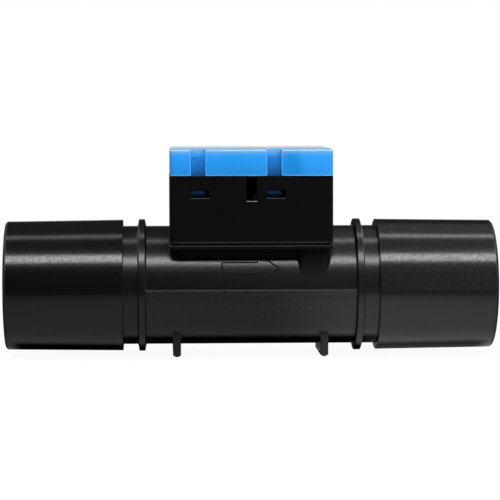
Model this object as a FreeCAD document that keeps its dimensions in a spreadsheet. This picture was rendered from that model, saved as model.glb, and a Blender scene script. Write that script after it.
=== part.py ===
import FreeCAD, Part
import math
import os
import re
import Sketcher

# A gas mass flow sensor: a tube with a 22 mm tapered connector at each end, and on its saddle a housing
# with the sensing board under a clip-on lid. X runs along the flow, from inlet to outlet, -Y is the
# front and +Z is up. The origin is under the middle of the tube, on the surface that the feet stand on.

# Driving sizes in millimetres: name, size and what it measures.
SIZES = (
    ("cone_end_dia", 22.0, "tapered connector across its end"),
    ("cone_length", 20.05, "tapered connector along the axis"),
    ("cone_ratio", 40, "length over change in diameter, for outer and inner tapers"),
    ("edge_break", 0.3, "bevel on the end edges of the connectors"),
    ("neck_dia", 20.34, "tube outside between the connectors"),
    ("ring_proud", 1.17, "collar ring out from the tube"),
    ("ring_root", 1.45, "collar ring width where it leaves the tube"),
    ("ring_tip", 1.0, "collar ring width at its rim"),
    ("groove_width", 2.52, "clip groove between collar ring and connector"),
    ("ring_clear", 3.985, "collar ring to the end of the deck"),
    ("socket_mouth_dia", 15.5, "inner taper across its mouth"),
    ("socket_depth", 13.0, "inner taper along the axis"),
    ("land_length", 6.1, "straight bore behind the inner taper"),
    ("seat_step", 0.2, "step in radius from the straight bore to the screen's seat"),
    ("shoulder", 0.89, "step in radius from the screen's seat to the measuring bore"),
    ("rail_height", 1.15, "parting rail along each side, down from the axis plane"),
    ("rail_proud", 0.28, "parting rail out from the tube"),
    ("foot_clearance", 0.6, "rings above the surface that the feet stand on"),
    ("foot_spacing", 25.1, "between the two foot ribs, middle to middle"),
    ("foot_thickness", 1.35, "foot rib along the tube"),
    ("foot_depth", 12.4, "foot rib across the tube"),
    ("foot_bevel", 0.5, "bevel along the lower edges of a foot, in width"),
    ("foot_point", 0.3, "bevel along the lower edges of a foot, in height"),
    ("foot_corner", 0.5, "cut corner at each end of a foot"),
    ("platform_crown", 0.43, "platform above the top of the tube"),
    ("platform_rise", 3.15, "platform above the deck"),
    ("platform_gap", 0.1, "platform to the housing's inner wall"),
    ("deck_ledge", 0.02, "deck out past the housing"),
    ("deck_corner", 1.1, "upright corner radius of the deck"),
    ("deck_rim", 0.7, "upright edge of the deck"),
    ("saddle_inset_long", 0.245, "saddle block inside the deck, along the tube"),
    ("saddle_inset_wide", 2.17, "saddle block inside the deck, across the tube"),
    ("saddle_corner", 1.8, "upright corner radius of the saddle block"),
    ("swell_proud", 1.3, "saddle's swelling under the connector, out from its side"),
    ("swell_lead", 0.5, "start of the saddle's swelling before the connector shroud"),
    ("swell_run", 2.0, "length of the double curve of the saddle's swelling"),
    ("coring_depth", 2.4, "cored pockets in the platform"),
    ("coring_length", 12.0, "cored pocket along the tube"),
    ("coring_width", 2.6, "cored pocket across the tube"),
    ("coring_wall", 1.2, "platform wall outside a cored pocket"),
    ("tap_spacing", 8.4, "between the two pressure taps"),
    ("tap_dia", 1.8, "pressure tap"),
    ("seal_height", 0.8, "tap seal, as deep as its seat"),
    ("seal_bore", 2.1, "tap seal across its hole"),
    ("seal_wall", 0.75, "tap seal, hole to rim"),
    ("seal_gap", 0.05, "tap seal to the wall of its seat"),
    ("screw_shank_dia", 1.8, "screw shank"),
    ("screw_head_dia", 3.4, "screw head across"),
    ("screw_head_height", 1.1, "screw head"),
    ("screw_grip", 4.0, "screw length in the platform"),
    ("screw_pilot_gap", 0.02, "screw shank to its pilot hole"),
    ("screw_hole_gap", 0.15, "screw shank to the holes that it passes"),
    ("pilot_spare", 0.6, "pilot hole past the screw's end"),
    ("screw_inset_long", 2.625, "screw to the housing's inner end wall"),
    ("screw_inset_wide", 3.2, "screw to the housing's inner side wall"),
    ("housing_length", 27.45, "housing along the tube"),
    ("housing_wall", 1.5, "housing wall"),
    ("housing_corner", 0.8, "upright corner radius of the housing"),
    ("housing_bevel", 0.4, "bevelled lower edge of the housing"),
    ("arch_gap", 0.2, "housing's arched ends to the tube under them"),
    ("bay_corner", 0.5, "corner radius inside the housing"),
    ("floor_thickness", 1.0, "housing floor, which lies on the platform"),
    ("boss_dia", 3.8, "board bosses on the housing floor"),
    ("slot_width", 1.75, "pry slot in the middle of the front wall"),
    ("slot_depth", 4.23, "pry slot, down from the housing's rim"),
    ("window_height", 1.43, "snap window"),
    ("window_near", 0.05, "snap window past its arm on the other sides"),
    ("window_far", 0.65, "front snap window past its arm on the outlet side"),
    ("arm_inset", 3.275, "inlet snap arm to the housing's inner end wall"),
    ("arm_shroud_gap", 3.69, "outlet snap arm to the connector shroud"),
    ("arm_width", 2.4, "snap arm along the tube"),
    ("arm_thickness", 1.1, "snap arm across the tube"),
    ("arm_gap", 0.1, "snap arm to the housing's inner wall"),
    ("arm_board_gap", 1.16, "snap arm's end above the board"),
    ("hook_proud", 0.45, "snap hook out from its arm"),
    ("hook_land", 0.5, "upright face of the snap hook"),
    ("hook_ramp", 0.6, "sloped face of the snap hook, in height"),
    ("hook_gap", 0.2, "snap hook below the top of its window"),
    ("cap_inset", 0.06, "lid inside the housing's outer face"),
    ("cap_height", 4.6, "lid above the housing's rim"),
    ("cap_plate", 1.5, "lid's top plate"),
    ("cap_end_wall", 1.5, "lid's end walls"),
    ("cap_corner", 0.7, "upright corner radius of the lid"),
    ("cap_round", 0.55, "rounded upper edge of the lid"),
    ("bulge_proud", 0.4, "lid's swelling beside the connector, out from its side"),
    ("bulge_lead", 1.6, "start of the swelling before the connector shroud"),
    ("bulge_run", 2.6, "length of the swelling's double curve"),
    ("lip_depth", 1.2, "locating lip below the lid's edge"),
    ("lip_root", 1.5, "locating lip up inside the lid"),
    ("lip_thickness", 0.9, "locating lip"),
    ("lip_end_gap", 1.15, "locating lip to the housing's inner end wall"),
    ("lip_arm_gap", 0.5, "locating lip to a snap arm or the pry slot"),
    ("block_height", 2.45, "bypass block"),
    ("block_end_wall", 0.8, "bypass block past the end of its channel"),
    ("block_side_wall", 3.2, "bypass block beside its channel"),
    ("block_gap", 0.3, "bypass block to the housing floor around it"),
    ("gasket_thickness", 0.25, "gasket between block and board"),
    ("gasket_margin", 0.4, "gasket opening around the channel"),
    ("board_gap", 0.5, "board to the housing's inner wall"),
    ("board_thickness", 1.0, "board"),
    ("flow_chip_length", 3.0, "flow chip along the channel"),
    ("flow_chip_width", 2.0, "flow chip across the channel"),
    ("flow_chip_height", 0.9, "flow chip below the board"),
    ("chip_side_gap", 0.2, "flow chip to the side of the channel"),
    ("chip_under_gap", 0.55, "flow chip to the floor of the channel"),
    ("restrictor_inset", 0.5, "flow restrictor to the edge of a tap"),
    ("restrictor_gap", 0.05, "flow restrictor to the bore"),
    ("restrictor_wall", 0.4, "flow restrictor outside its cells"),
    ("cell_web", 0.4, "wall between the restrictor's cells"),
    ("screen_thickness", 0.3, "flow screen"),
    ("screen_hole", 2.9, "flow screen, square hole"),
    ("screen_bar", 0.5, "flow screen, bar between holes"),
    ("screen_rim", 0.7, "flow screen, plain rim"),
    ("retainer_length", 2.2, "screen's retaining ring along the tube"),
    ("retainer_gap", 0.04, "retaining ring and screen to their seat"),
    ("pin_count", 4, "connector pins"),
    ("plug_pitch", 1.5, "between connector pins"),
    ("plug_pin", 0.5, "connector pin, square"),
    ("plug_pin_gap", 0.02, "connector pin to the hole in its shroud"),
    ("plug_pin_tip", 0.9, "connector pin's tip inside the shroud's mouth"),
    ("plug_foot", 0.9, "soldered foot of a connector pin"),
    ("plug_side_room", 0.6, "outer connector pin to the shroud's side wall"),
    ("shroud_length", 6.0, "connector shroud along the tube"),
    ("shroud_height", 4.5, "connector shroud"),
    ("shroud_wall", 0.7, "connector shroud's wall"),
    ("shroud_back", 1.8, "connector shroud's solid back"),
    ("shroud_inset", 0.225, "shroud's mouth inside the housing's end face"),
    ("shroud_gap", 0.2, "shroud to the sides and sill of the housing's opening"),
    ("shroud_rim_gap", 0.24, "shroud below the housing's rim"),
    ("shroud_screw_gap", 0.7, "shroud to the screw heads beside it"),
    ("shroud_key", 1.0, "keying slots in the shroud's upper wall"),
    ("signal_chip_side", 4.0, "signal chip, square"),
    ("signal_chip_height", 0.85, "signal chip"),
    ("signal_chip_along", -1.6, "signal chip's place along the board"),
    ("memory_length", 3.0, "memory chip along the board"),
    ("memory_width", 3.0, "memory chip across the board"),
    ("memory_height", 1.0, "memory chip"),
    ("memory_inset", 5.05, "memory chip to the board's inlet end"),
    ("memory_across", -2.0, "memory chip's place across the board"),
    ("memory_pitch", 0.65, "between the memory chip's leads"),
    ("memory_lead", 0.28, "width of the memory chip's leads"),
    ("regulator_length", 2.9, "voltage regulator along the board"),
    ("regulator_width", 1.6, "voltage regulator across the board"),
    ("regulator_height", 1.1, "voltage regulator"),
    ("regulator_inset", 5.25, "voltage regulator to the board's inlet end"),
    ("regulator_across", 2.4, "voltage regulator's place across the board"),
    ("regulator_pitch", 0.95, "between the voltage regulator's leads"),
    ("regulator_lead", 0.4, "width of the voltage regulator's leads"),
    ("lead_reach", 0.75, "chip leads out from the package"),
    ("lead_thickness", 0.15, "chip leads"),
    ("passive_count", 5, "capacitors, or resistors, in a row"),
    ("passive_length", 1.6, "capacitor or resistor, across the board"),
    ("passive_width", 0.8, "capacitor or resistor, along the board"),
    ("capacitor_height", 0.8, "capacitor"),
    ("resistor_height", 0.45, "resistor"),
    ("passive_pitch", 1.6, "between capacitors or resistors in a row"),
    ("passive_start", -3.6, "first of a row, along the board"),
    ("passive_across", 5.4, "row to the middle of the board"),
)

# Places and sizes worked out from the driving ones. A name that ends in _level is a height above the
# tube's axis.
PLACES = (
    ("plug_width", "(pin_count - 1) * plug_pitch + plug_pin"),
    ("shroud_width", "plug_width + 2 * (plug_side_room + shroud_wall)"),
    ("screw_across", "shroud_width / 2 + shroud_screw_gap + screw_head_dia / 2"),
    ("bay_length", "housing_length - 2 * housing_wall"),
    ("bay_width", "2 * (screw_across + screw_inset_wide)"),
    ("screw_along", "bay_length / 2 - screw_inset_long"),
    ("housing_width", "bay_width + 2 * housing_wall"),
    ("deck_length", "housing_length + 2 * deck_ledge"),
    ("deck_width", "housing_width + 2 * deck_ledge"),
    ("saddle_end", "deck_length / 2 - saddle_inset_long"),
    ("saddle_side", "deck_width / 2 - saddle_inset_wide"),
    ("platform_length", "bay_length - 2 * platform_gap"),
    ("platform_width", "bay_width - 2 * platform_gap"),
    ("neck_radius", "neck_dia / 2"),
    ("ring_radius", "neck_radius + ring_proud"),
    ("ring_place", "deck_length / 2 + ring_clear + ring_root / 2"),
    ("cone_step", "ring_place + ring_root / 2 + groove_width"),
    ("tube_end", "cone_step + cone_length"),
    ("cone_end_radius", "cone_end_dia / 2"),
    ("cone_edge_radius", "cone_end_radius + edge_break / cone_ratio / 2"),
    ("cone_base_radius", "cone_end_radius + cone_length / cone_ratio / 2"),
    ("axis_height", "max(ring_radius; cone_base_radius) + foot_clearance"),
    ("mouth_radius", "socket_mouth_dia / 2"),
    ("mouth_edge_radius", "mouth_radius - edge_break / cone_ratio / 2"),
    ("land_radius", "mouth_radius - socket_depth / cone_ratio / 2"),
    ("land_end", "tube_end - socket_depth"),
    ("land_start", "land_end - land_length"),
    ("seat_radius", "land_radius - seat_step"),
    ("seat_start", "land_start - screen_thickness - retainer_length"),
    ("bore_radius", "seat_radius - shoulder"),
    ("wall_middle", "(neck_radius + bore_radius) / 2"),
    ("rail_face", "neck_radius + rail_proud"),
    ("platform_level", "neck_radius + platform_crown"),
    ("deck_level", "platform_level - platform_rise"),
    ("floor_level", "platform_level + floor_thickness"),
    ("block_level", "platform_level + block_height"),
    ("board_level", "block_level + gasket_thickness"),
    ("board_top_level", "board_level + board_thickness"),
    ("rim_level", "board_top_level + shroud_height + shroud_rim_gap"),
    ("cap_level", "rim_level + cap_height"),
    ("plate_level", "cap_level - cap_plate"),
    ("coring_outer", "platform_width / 2 - coring_wall"),
    ("coring_inner", "coring_outer - coring_width"),
    ("channel_width", "flow_chip_width + 2 * chip_side_gap"),
    ("channel_length", "tap_spacing + channel_width"),
    ("channel_depth", "flow_chip_height + chip_under_gap - gasket_thickness"),
    ("channel_corner", "channel_width / 3"),
    ("block_length", "channel_length + 2 * block_end_wall"),
    ("block_width", "channel_width + 2 * block_side_wall"),
    ("seal_radius", "seal_bore / 2 + seal_wall"),
    ("seal_seat_radius", "seal_radius + seal_gap"),
    ("board_length", "bay_length - 2 * board_gap"),
    ("board_width", "bay_width - 2 * board_gap"),
    ("memory_along", "memory_inset - board_length / 2"),
    ("regulator_along", "regulator_inset - board_length / 2"),
    ("screw_radius", "screw_shank_dia / 2"),
    ("screw_pilot_radius", "screw_radius + screw_pilot_gap"),
    ("screw_hole_radius", "screw_radius + screw_hole_gap"),
    ("screw_end_level", "platform_level - screw_grip"),
    ("shroud_mouth", "housing_length / 2 - shroud_inset"),
    ("shroud_rear", "shroud_mouth - shroud_length"),
    ("plug_level", "board_top_level + shroud_height / 2"),
    ("arm_near", "arm_inset - bay_length / 2"),
    ("arm_far", "shroud_rear - arm_shroud_gap"),
    ("arm_outer", "bay_width / 2 - arm_gap"),
    ("arm_inner", "arm_outer - arm_thickness"),
    ("arm_end_level", "board_top_level + arm_board_gap"),
    ("hook_outer", "arm_outer + hook_proud"),
    ("hook_level", "arm_end_level + hook_ramp + hook_land"),
    ("window_level", "hook_level + hook_gap"),
    ("cap_end", "housing_length / 2 - cap_inset"),
    ("cap_side", "housing_width / 2 - cap_inset"),
    ("bulge_side", "cap_side + bulge_proud"),
    ("bulge_from", "shroud_rear - bulge_lead"),
    ("bulge_to", "bulge_from + bulge_run"),
    ("bulge_radius", "(bulge_run * bulge_run + bulge_proud * bulge_proud) / (4 * bulge_proud)"),
    ("swell_side", "saddle_side + swell_proud"),
    ("swell_from", "shroud_rear - swell_lead"),
    ("swell_to", "swell_from + swell_run"),
    ("swell_radius", "(swell_run * swell_run + swell_proud * swell_proud) / (4 * swell_proud)"),
    ("lip_inner", "arm_outer - lip_thickness"),
    ("lip_end", "bay_length / 2 - lip_end_gap"),
    ("retainer_radius", "seat_radius - retainer_gap"),
    ("screen_pitch", "screen_hole + screen_bar"),
    ("restrictor_radius", "bore_radius - restrictor_gap"),
    ("restrictor_length", "tap_spacing - tap_dia - 2 * restrictor_inset"),
    ("cell_width", "(restrictor_radius - restrictor_wall - 2 * cell_web) / 2.5"),
    ("cell_side", "cell_width / sqrt(3)"),
    ("cell_pitch", "cell_width + cell_web"),
)

doc = FreeCAD.newDocument("GasFlowSensor")


def new_sheet(name):
    return doc.addObject("Spreadsheet::Sheet", name)


sizes = new_sheet("Sizes")
for row, (alias, size, meaning) in enumerate(SIZES, start=1):
    sizes.set("A%d" % row, meaning)
    sizes.set("B%d" % row, str(size))
    sizes.setAlias("B%d" % row, alias)
doc.recompute()
sheet_of = {alias: "Sizes" for alias, size, meaning in SIZES}


def formula(text):
    """Put the name of its sheet before each named size in a formula."""
    return re.sub(r"[a-z_]+", lambda found: in_sheet(found.group()), text)


def in_sheet(word):
    if word in sheet_of:
        return sheet_of[word] + "." + word
    return word


places = new_sheet("Places")
for row, (alias, text) in enumerate(PLACES, start=1):
    places.set("B%d" % row, "=" + formula(text))
    places.setAlias("B%d" % row, alias)
    sheet_of[alias] = "Places"
doc.recompute()


def number(text):
    """Value of a formula now, for the first guess of a sketch."""
    return float(sizes.evalExpression(formula(text)))


def bind(thing, setting, text):
    thing.setExpression(setting, formula(text))


def built(feature):
    doc.recompute()
    if "Invalid" in feature.State or "Error" in feature.State or feature.Shape.isNull():
        raise RuntimeError(feature.Name + " failed: " + ", ".join(feature.State))
    return feature


def new_body(label, separate_solids=False):
    body = doc.addObject("PartDesign::Body", label)
    body.Label = label
    body.AllowCompound = separate_solids
    bind(body, "Placement.Base.z", "axis_height")
    return body


def origin_feature(body, role):
    return next(feature for feature in body.Origin.OriginFeatures if feature.Role == role)


def new_sketch(body, name, plane, lift="0"):
    """Sketch on an origin plane of the body, moved along the plane's normal."""
    sketch = body.newObject("Sketcher::SketchObject", name)
    sketch.AttachmentSupport = (origin_feature(body, plane), [""])
    sketch.MapMode = "FlatFace"
    bind(sketch, "AttachmentOffset.Base.z", lift)
    return sketch


def constrain(sketch, text, *constraint):
    place = sketch.addConstraint(Sketcher.Constraint(*constraint))
    bind(sketch, "Constraints[%d]" % place, text)


def arc_between(start, end, bend):
    """Arc from start to end, turning left for a positive radius and right for a negative one."""
    chord = end - start
    radius = abs(bend)
    side = math.copysign(1, bend)
    rise = math.sqrt(max(radius ** 2 - (chord.Length / 2) ** 2, 0))
    left = FreeCAD.Vector(-chord.y, chord.x, 0).normalize()
    centre = (start + end) / 2 + left * rise * side
    return Part.Arc(start, centre - left * radius * side, end)


def outline(sketch, *corners):
    """Closed outline. A corner is two formulas, and a third is the radius of an arc to the next corner."""
    points = [FreeCAD.Vector(number(corner[0]), number(corner[1]), 0) for corner in corners]
    first = sketch.GeometryCount
    edges = []
    ends = []
    for corner, start, end in zip(corners, points, points[1:] + points[:1]):
        bend = number(corner[2]) if len(corner) == 3 else 0
        edges.append(arc_between(start, end, bend) if bend else Part.LineSegment(start, end))
        ends.append((2, 1) if bend < 0 else (1, 2))
    sketch.addGeometry(edges, False)
    for index in range(len(corners)):
        following = (index + 1) % len(corners)
        joint = (first + index, ends[index][1], first + following, ends[following][0])
        sketch.addConstraint(Sketcher.Constraint("Coincident", *joint))
    for index, corner in enumerate(corners):
        corner_point = (-1, 1, first + index, ends[index][0])
        constrain(sketch, corner[0], "DistanceX", *corner_point, points[index].x)
        constrain(sketch, corner[1], "DistanceY", *corner_point, points[index].y)
        if len(corner) == 3:
            radius = corner[2].lstrip("-")
            constrain(sketch, radius, "Radius", first + index, number(radius))


def circle(sketch, across, up, radius):
    centre = FreeCAD.Vector(number(across), number(up), 0)
    place = sketch.addGeometry(Part.Circle(centre, FreeCAD.Vector(0, 0, 1), number(radius)), False)
    constrain(sketch, across, "DistanceX", -1, 1, place, 3, centre.x)
    constrain(sketch, up, "DistanceY", -1, 1, place, 3, centre.y)
    constrain(sketch, radius, "Radius", place, number(radius))


def rectangle(sketch, left, right, bottom, top):
    outline(sketch, (left, bottom), (right, bottom), (right, top), (left, top))


def centred_rectangle(sketch, length, width, corner=None):
    """Rectangle about the sketch's origin, with rounded corners where a radius is given."""
    right = "(%s) / 2" % length
    top = "(%s) / 2" % width
    left = "-" + right
    bottom = "-" + top
    if corner is None:
        rectangle(sketch, left, right, bottom, top)
        return
    less = " - " + corner
    more = " + " + corner
    outline(sketch,
            (left + more, bottom), (right + less, bottom, corner),
            (right, bottom + more), (right, top + less, corner),
            (right + less, top), (left + more, top, corner),
            (left, top + less), (left, bottom + more, corner))


def swelling_plan(sketch, end, side, corner, start, stop, wide, bend):
    """Rounded rectangle about the origin, wider on both sides from a double curve to its +X end."""
    middle = "(%s + %s) / 2" % (start, stop)
    half_way = "(%s + %s) / 2" % (side, wide)
    near = "%s - %s" % (end, corner)
    outline(sketch,
            ("-(%s)" % near, "-" + side), (start, "-" + side, "-" + bend),
            (middle, "-" + half_way, bend), (stop, "-" + wide),
            (near, "-" + wide, corner), (end, "%s - %s" % (corner, wide)),
            (end, "%s - %s" % (wide, corner), corner), (near, wide),
            (stop, wide, bend), (middle, half_way, "-" + bend),
            (start, side), ("-(%s)" % near, side, corner),
            ("-" + end, "%s - %s" % (side, corner)), ("-" + end, "%s - %s" % (corner, side), corner))


def extruded(body, kind, name, sketch, length, both_ways, backwards):
    feature = body.newObject("PartDesign::" + kind, name)
    feature.Profile = (sketch, [""])
    bind(feature, "Length", length)
    feature.Reversed = backwards
    if both_ways:
        feature.SideType = "Symmetric"
    return built(feature)


def pad(body, name, sketch, length, both_ways=False, backwards=False):
    return extruded(body, "Pad", name, sketch, length, both_ways, backwards)


def pocket(body, name, sketch, length, both_ways=False, backwards=False):
    before = body.Tip.Shape.Volume
    feature = extruded(body, "Pocket", name, sketch, length, both_ways, backwards)
    if feature.Shape.Volume >= before:
        raise RuntimeError(name + " cuts nothing")
    return feature


def turned(body, kind, name, sketch):
    """Revolution or Groove about the sketch's horizontal axis."""
    feature = body.newObject("PartDesign::" + kind, name)
    feature.Profile = (sketch, [""])
    feature.ReferenceAxis = (sketch, ["H_Axis"])
    feature.Angle = 360
    return built(feature)


def mirrored(body, name, feature, plane):
    mirror = body.newObject("PartDesign::Mirrored", name)
    mirror.Originals = [feature]
    mirror.MirrorPlane = (origin_feature(body, plane), [""])
    body.Tip = mirror
    return built(mirror)


def row_of(body, name, feature, axis, count, pitch, second=None):
    """Copies in a row, or in rows where a second axis, count and pitch are given."""
    pattern = body.newObject("PartDesign::LinearPattern", name)
    pattern.Originals = [feature]
    pattern.Direction = (origin_feature(body, axis), [""])
    pattern.Mode = "Spacing"
    bind(pattern, "Occurrences", count)
    bind(pattern, "Offset", pitch)
    if second:
        second_axis, second_count, second_pitch = second
        pattern.Direction2 = (origin_feature(body, second_axis), [""])
        pattern.Mode2 = "Spacing"
        bind(pattern, "Occurrences2", second_count)
        bind(pattern, "Offset2", second_pitch)
    body.Tip = pattern
    return built(pattern)


def ring_of(body, name, feature, axis, count):
    pattern = body.newObject("PartDesign::PolarPattern", name)
    pattern.Originals = [feature]
    pattern.Axis = (origin_feature(body, axis), [""])
    pattern.Angle = 360
    pattern.Occurrences = count
    body.Tip = pattern
    return built(pattern)


def dressed(body, kind, name, feature, level, size):
    """Fillet or Chamfer along the edges of a feature that lie at one height."""
    height = number(level)
    names = []
    for place, edge in enumerate(feature.Shape.Edges, start=1):
        box = edge.BoundBox
        if max(abs(box.ZMin - height), abs(box.ZMax - height)) < 0.001:
            names.append("Edge%d" % place)
    dressing = body.newObject("PartDesign::" + kind, name)
    dressing.Base = (feature, names)
    bind(dressing, "Radius" if kind == "Fillet" else "Size", size)
    return built(dressing)


def four_corners(along, across):
    """The four places at a distance along and across, as formulas."""
    return [(end + along, side + across) for end in ("-", "") for side in ("-", "")]


def make_flow_tube():
    body = new_body("flow_tube")
    skin = new_sketch(body, "TubeSkin", "XZ_Plane")
    outline(skin,
            ("0", "0"), ("tube_end", "0"),
            ("tube_end", "cone_end_radius - edge_break"), ("tube_end - edge_break", "cone_edge_radius"),
            ("cone_step", "cone_base_radius"), ("cone_step", "neck_radius"),
            ("ring_place + ring_root / 2", "neck_radius"), ("ring_place + ring_tip / 2", "ring_radius"),
            ("ring_place - ring_tip / 2", "ring_radius"), ("ring_place - ring_root / 2", "neck_radius"),
            ("0", "neck_radius"))
    outlet_half = turned(body, "Revolution", "OutletHalf", skin)
    mirrored(body, "InletHalf", outlet_half, "YZ_Plane")
    add_saddle(body)
    add_rails_and_feet(body)

    core = new_sketch(body, "BoreSection", "XZ_Plane")
    outline(core,
            ("0", "0"), ("tube_end", "0"),
            ("tube_end", "mouth_radius + edge_break"), ("tube_end - edge_break", "mouth_edge_radius"),
            ("land_end", "land_radius"), ("land_start", "land_radius"),
            ("land_start", "seat_radius"), ("seat_start", "seat_radius"),
            ("seat_start", "bore_radius"), ("0", "bore_radius"))
    outlet_bore = turned(body, "Groove", "OutletBore", core)
    mirrored(body, "InletBore", outlet_bore, "YZ_Plane")
    cut_platform(body)
    return body


def add_saddle(body):
    """Block on the tube, wider under the connector, the deck on it and the platform inside the housing."""
    block = new_sketch(body, "SaddlePlan", "XY_Plane")
    swelling_plan(block, "saddle_end", "saddle_side", "saddle_corner",
                  "swell_from", "swell_to", "swell_side", "swell_radius")
    pad(body, "Saddle", block, "deck_level")
    deck = new_sketch(body, "DeckPlan", "XY_Plane", "deck_level - deck_rim")
    centred_rectangle(deck, "deck_length", "deck_width", "deck_corner")
    pad(body, "Deck", deck, "deck_rim")
    platform = new_sketch(body, "PlatformPlan", "XY_Plane", "deck_level")
    centred_rectangle(platform, "platform_length", "platform_width", "bay_corner")
    pad(body, "Platform", platform, "platform_rise")


def add_rails_and_feet(body):
    rails = new_sketch(body, "RailSection", "YZ_Plane")
    rectangle(rails, "-rail_face", "-wall_middle", "-rail_height", "0")
    rectangle(rails, "wall_middle", "rail_face", "-rail_height", "0")
    pad(body, "Rails", rails, "2 * ring_place", both_ways=True)
    feet = new_sketch(body, "FootFront", "XZ_Plane")
    ends = new_sketch(body, "FootEnds", "YZ_Plane")
    for side, inward in (("-", " + "), ("", " - ")):
        left = side + "foot_spacing / 2 - foot_thickness / 2"
        right = side + "foot_spacing / 2 + foot_thickness / 2"
        outline(feet,
                (left, "-bore_radius"), (left, "foot_point - axis_height"),
                (left + " + foot_bevel", "-axis_height"), (right + " - foot_bevel", "-axis_height"),
                (right, "foot_point - axis_height"), (right, "-bore_radius"))
        end = side + "foot_depth / 2"
        outline(ends,
                (end, "-axis_height"), (end, "foot_corner - axis_height"),
                (end + inward + "foot_corner", "-axis_height"))
    pad(body, "Feet", feet, "foot_depth", both_ways=True)
    pocket(body, "FootCorners", ends, "foot_spacing + 2 * foot_thickness", both_ways=True)


def cut_platform(body):
    """Pressure taps with their seal seats, screw pilots and cored pockets, all from the platform's top."""
    taps = new_sketch(body, "TapPlan", "XY_Plane", "platform_level")
    seats = new_sketch(body, "SealSeatPlan", "XY_Plane", "platform_level")
    for side in ("-", ""):
        circle(taps, side + "tap_spacing / 2", "0", "tap_dia / 2")
        circle(seats, side + "tap_spacing / 2", "0", "seal_seat_radius")
    pocket(body, "Taps", taps, "platform_level")
    pocket(body, "SealSeats", seats, "seal_height")
    pilots = new_sketch(body, "PilotPlan", "XY_Plane", "platform_level")
    for along, across in four_corners("screw_along", "screw_across"):
        circle(pilots, along, across, "screw_pilot_radius")
    pocket(body, "Pilots", pilots, "screw_grip + pilot_spare")
    coring = new_sketch(body, "CoringPlan", "XY_Plane", "platform_level")
    rectangle(coring, "-coring_length / 2", "coring_length / 2", "coring_inner", "coring_outer")
    rectangle(coring, "-coring_length / 2", "coring_length / 2", "-coring_outer", "-coring_inner")
    pocket(body, "Coring", coring, "coring_depth")


def make_screen(label, side):
    """Etched screen on the shoulder of its seat, with square holes and a plain rim."""
    body = new_body(label)
    middle = side + "(seat_start + screen_thickness / 2)"
    disc = new_sketch(body, "Disc_" + label, "YZ_Plane", middle)
    circle(disc, "0", "0", "retainer_radius")
    pad(body, "Sheet_" + label, disc, "screen_thickness", both_ways=True)
    reach = math.ceil(number("(retainer_radius - screen_rim) / screen_pitch"))
    hole = new_sketch(body, "HolePlan_" + label, "YZ_Plane", middle)
    near = "-%d * screen_pitch - screen_hole / 2" % reach
    far = near + " + screen_hole"
    rectangle(hole, near, far, near, far)
    corner_hole = extruded(body, "Pocket", "CornerHole_" + label, hole, "2 * screen_thickness", True, False)
    count = str(2 * reach + 1)
    row_of(body, "Holes_" + label, corner_hole, "Y_Axis", count, "screen_pitch",
           ("Z_Axis", count, "screen_pitch"))
    rim = new_sketch(body, "RimPlan_" + label, "YZ_Plane", middle)
    circle(rim, "0", "0", "retainer_radius")
    circle(rim, "0", "0", "retainer_radius - screen_rim")
    pad(body, "Rim_" + label, rim, "screen_thickness", both_ways=True)
    return body


def make_retainer(label, side):
    """Ring pressed in behind a screen."""
    body = new_body(label)
    section = new_sketch(body, "Section_" + label, "YZ_Plane", side + "(seat_start + screen_thickness)")
    circle(section, "0", "0", "retainer_radius")
    circle(section, "0", "0", "bore_radius")
    pad(body, "Ring_" + label, section, "retainer_length", backwards=side == "-")
    return body


def hexagon(sketch, across, up):
    """Cell of the honeycomb, with a flat side towards each neighbour."""
    left = across + " - cell_width / 2"
    right = across + " + cell_width / 2"
    lower = up + " - cell_side / 2"
    upper = up + " + cell_side / 2"
    outline(sketch,
            (across, up + " - cell_side"), (right, lower), (right, upper),
            (across, up + " + cell_side"), (left, upper), (left, lower))


def make_restrictor():
    """Laminar element between the taps: a honeycomb plug, one cell in the middle and two rings of cells."""
    body = new_body("flow_restrictor")
    plug = new_sketch(body, "RestrictorPlan", "YZ_Plane")
    circle(plug, "0", "0", "restrictor_radius")
    hexagon(plug, "0", "0")
    pad(body, "Plug", plug, "restrictor_length", both_ways=True)
    rings = (("Inner", "cell_pitch", "0"), ("Outer", "2 * cell_pitch", "0"),
             ("Between", "1.5 * cell_pitch", "cell_pitch * sqrt(3) / 2"))
    for name, across, up in rings:
        cell = new_sketch(body, name + "CellPlan", "YZ_Plane")
        hexagon(cell, across, up)
        first = pocket(body, name + "Cell", cell, "2 * restrictor_length", both_ways=True)
        ring_of(body, name + "Cells", first, "X_Axis", 6)
    return body


def make_tap_seals():
    body = new_body("tap_seals", separate_solids=True)
    plan = new_sketch(body, "SealPlan", "XY_Plane", "platform_level")
    for side in ("-", ""):
        circle(plan, side + "tap_spacing / 2", "0", "seal_radius")
        circle(plan, side + "tap_spacing / 2", "0", "seal_bore / 2")
    pad(body, "Seals", plan, "seal_height", backwards=True)
    return body


def make_bypass_block():
    """Block over the taps: a port up from each, and the open channel that the board closes."""
    body = new_body("bypass_block")
    plan = new_sketch(body, "BlockPlan", "XY_Plane", "platform_level")
    centred_rectangle(plan, "block_length", "block_width")
    pad(body, "Block", plan, "block_height")
    channel = new_sketch(body, "ChannelPlan", "XY_Plane", "block_level")
    centred_rectangle(channel, "channel_length", "channel_width", "channel_corner")
    pocket(body, "Channel", channel, "channel_depth")
    ports = new_sketch(body, "PortPlan", "XY_Plane", "block_level")
    for side in ("-", ""):
        circle(ports, side + "tap_spacing / 2", "0", "tap_dia / 2")
    pocket(body, "Ports", ports, "block_height")
    return body


def make_gasket():
    body = new_body("channel_gasket")
    plan = new_sketch(body, "GasketPlan", "XY_Plane", "block_level")
    centred_rectangle(plan, "block_length", "block_width")
    centred_rectangle(plan, "channel_length + 2 * gasket_margin", "channel_width + 2 * gasket_margin",
                      "channel_corner")
    pad(body, "Gasket", plan, "gasket_thickness")
    return body


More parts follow.
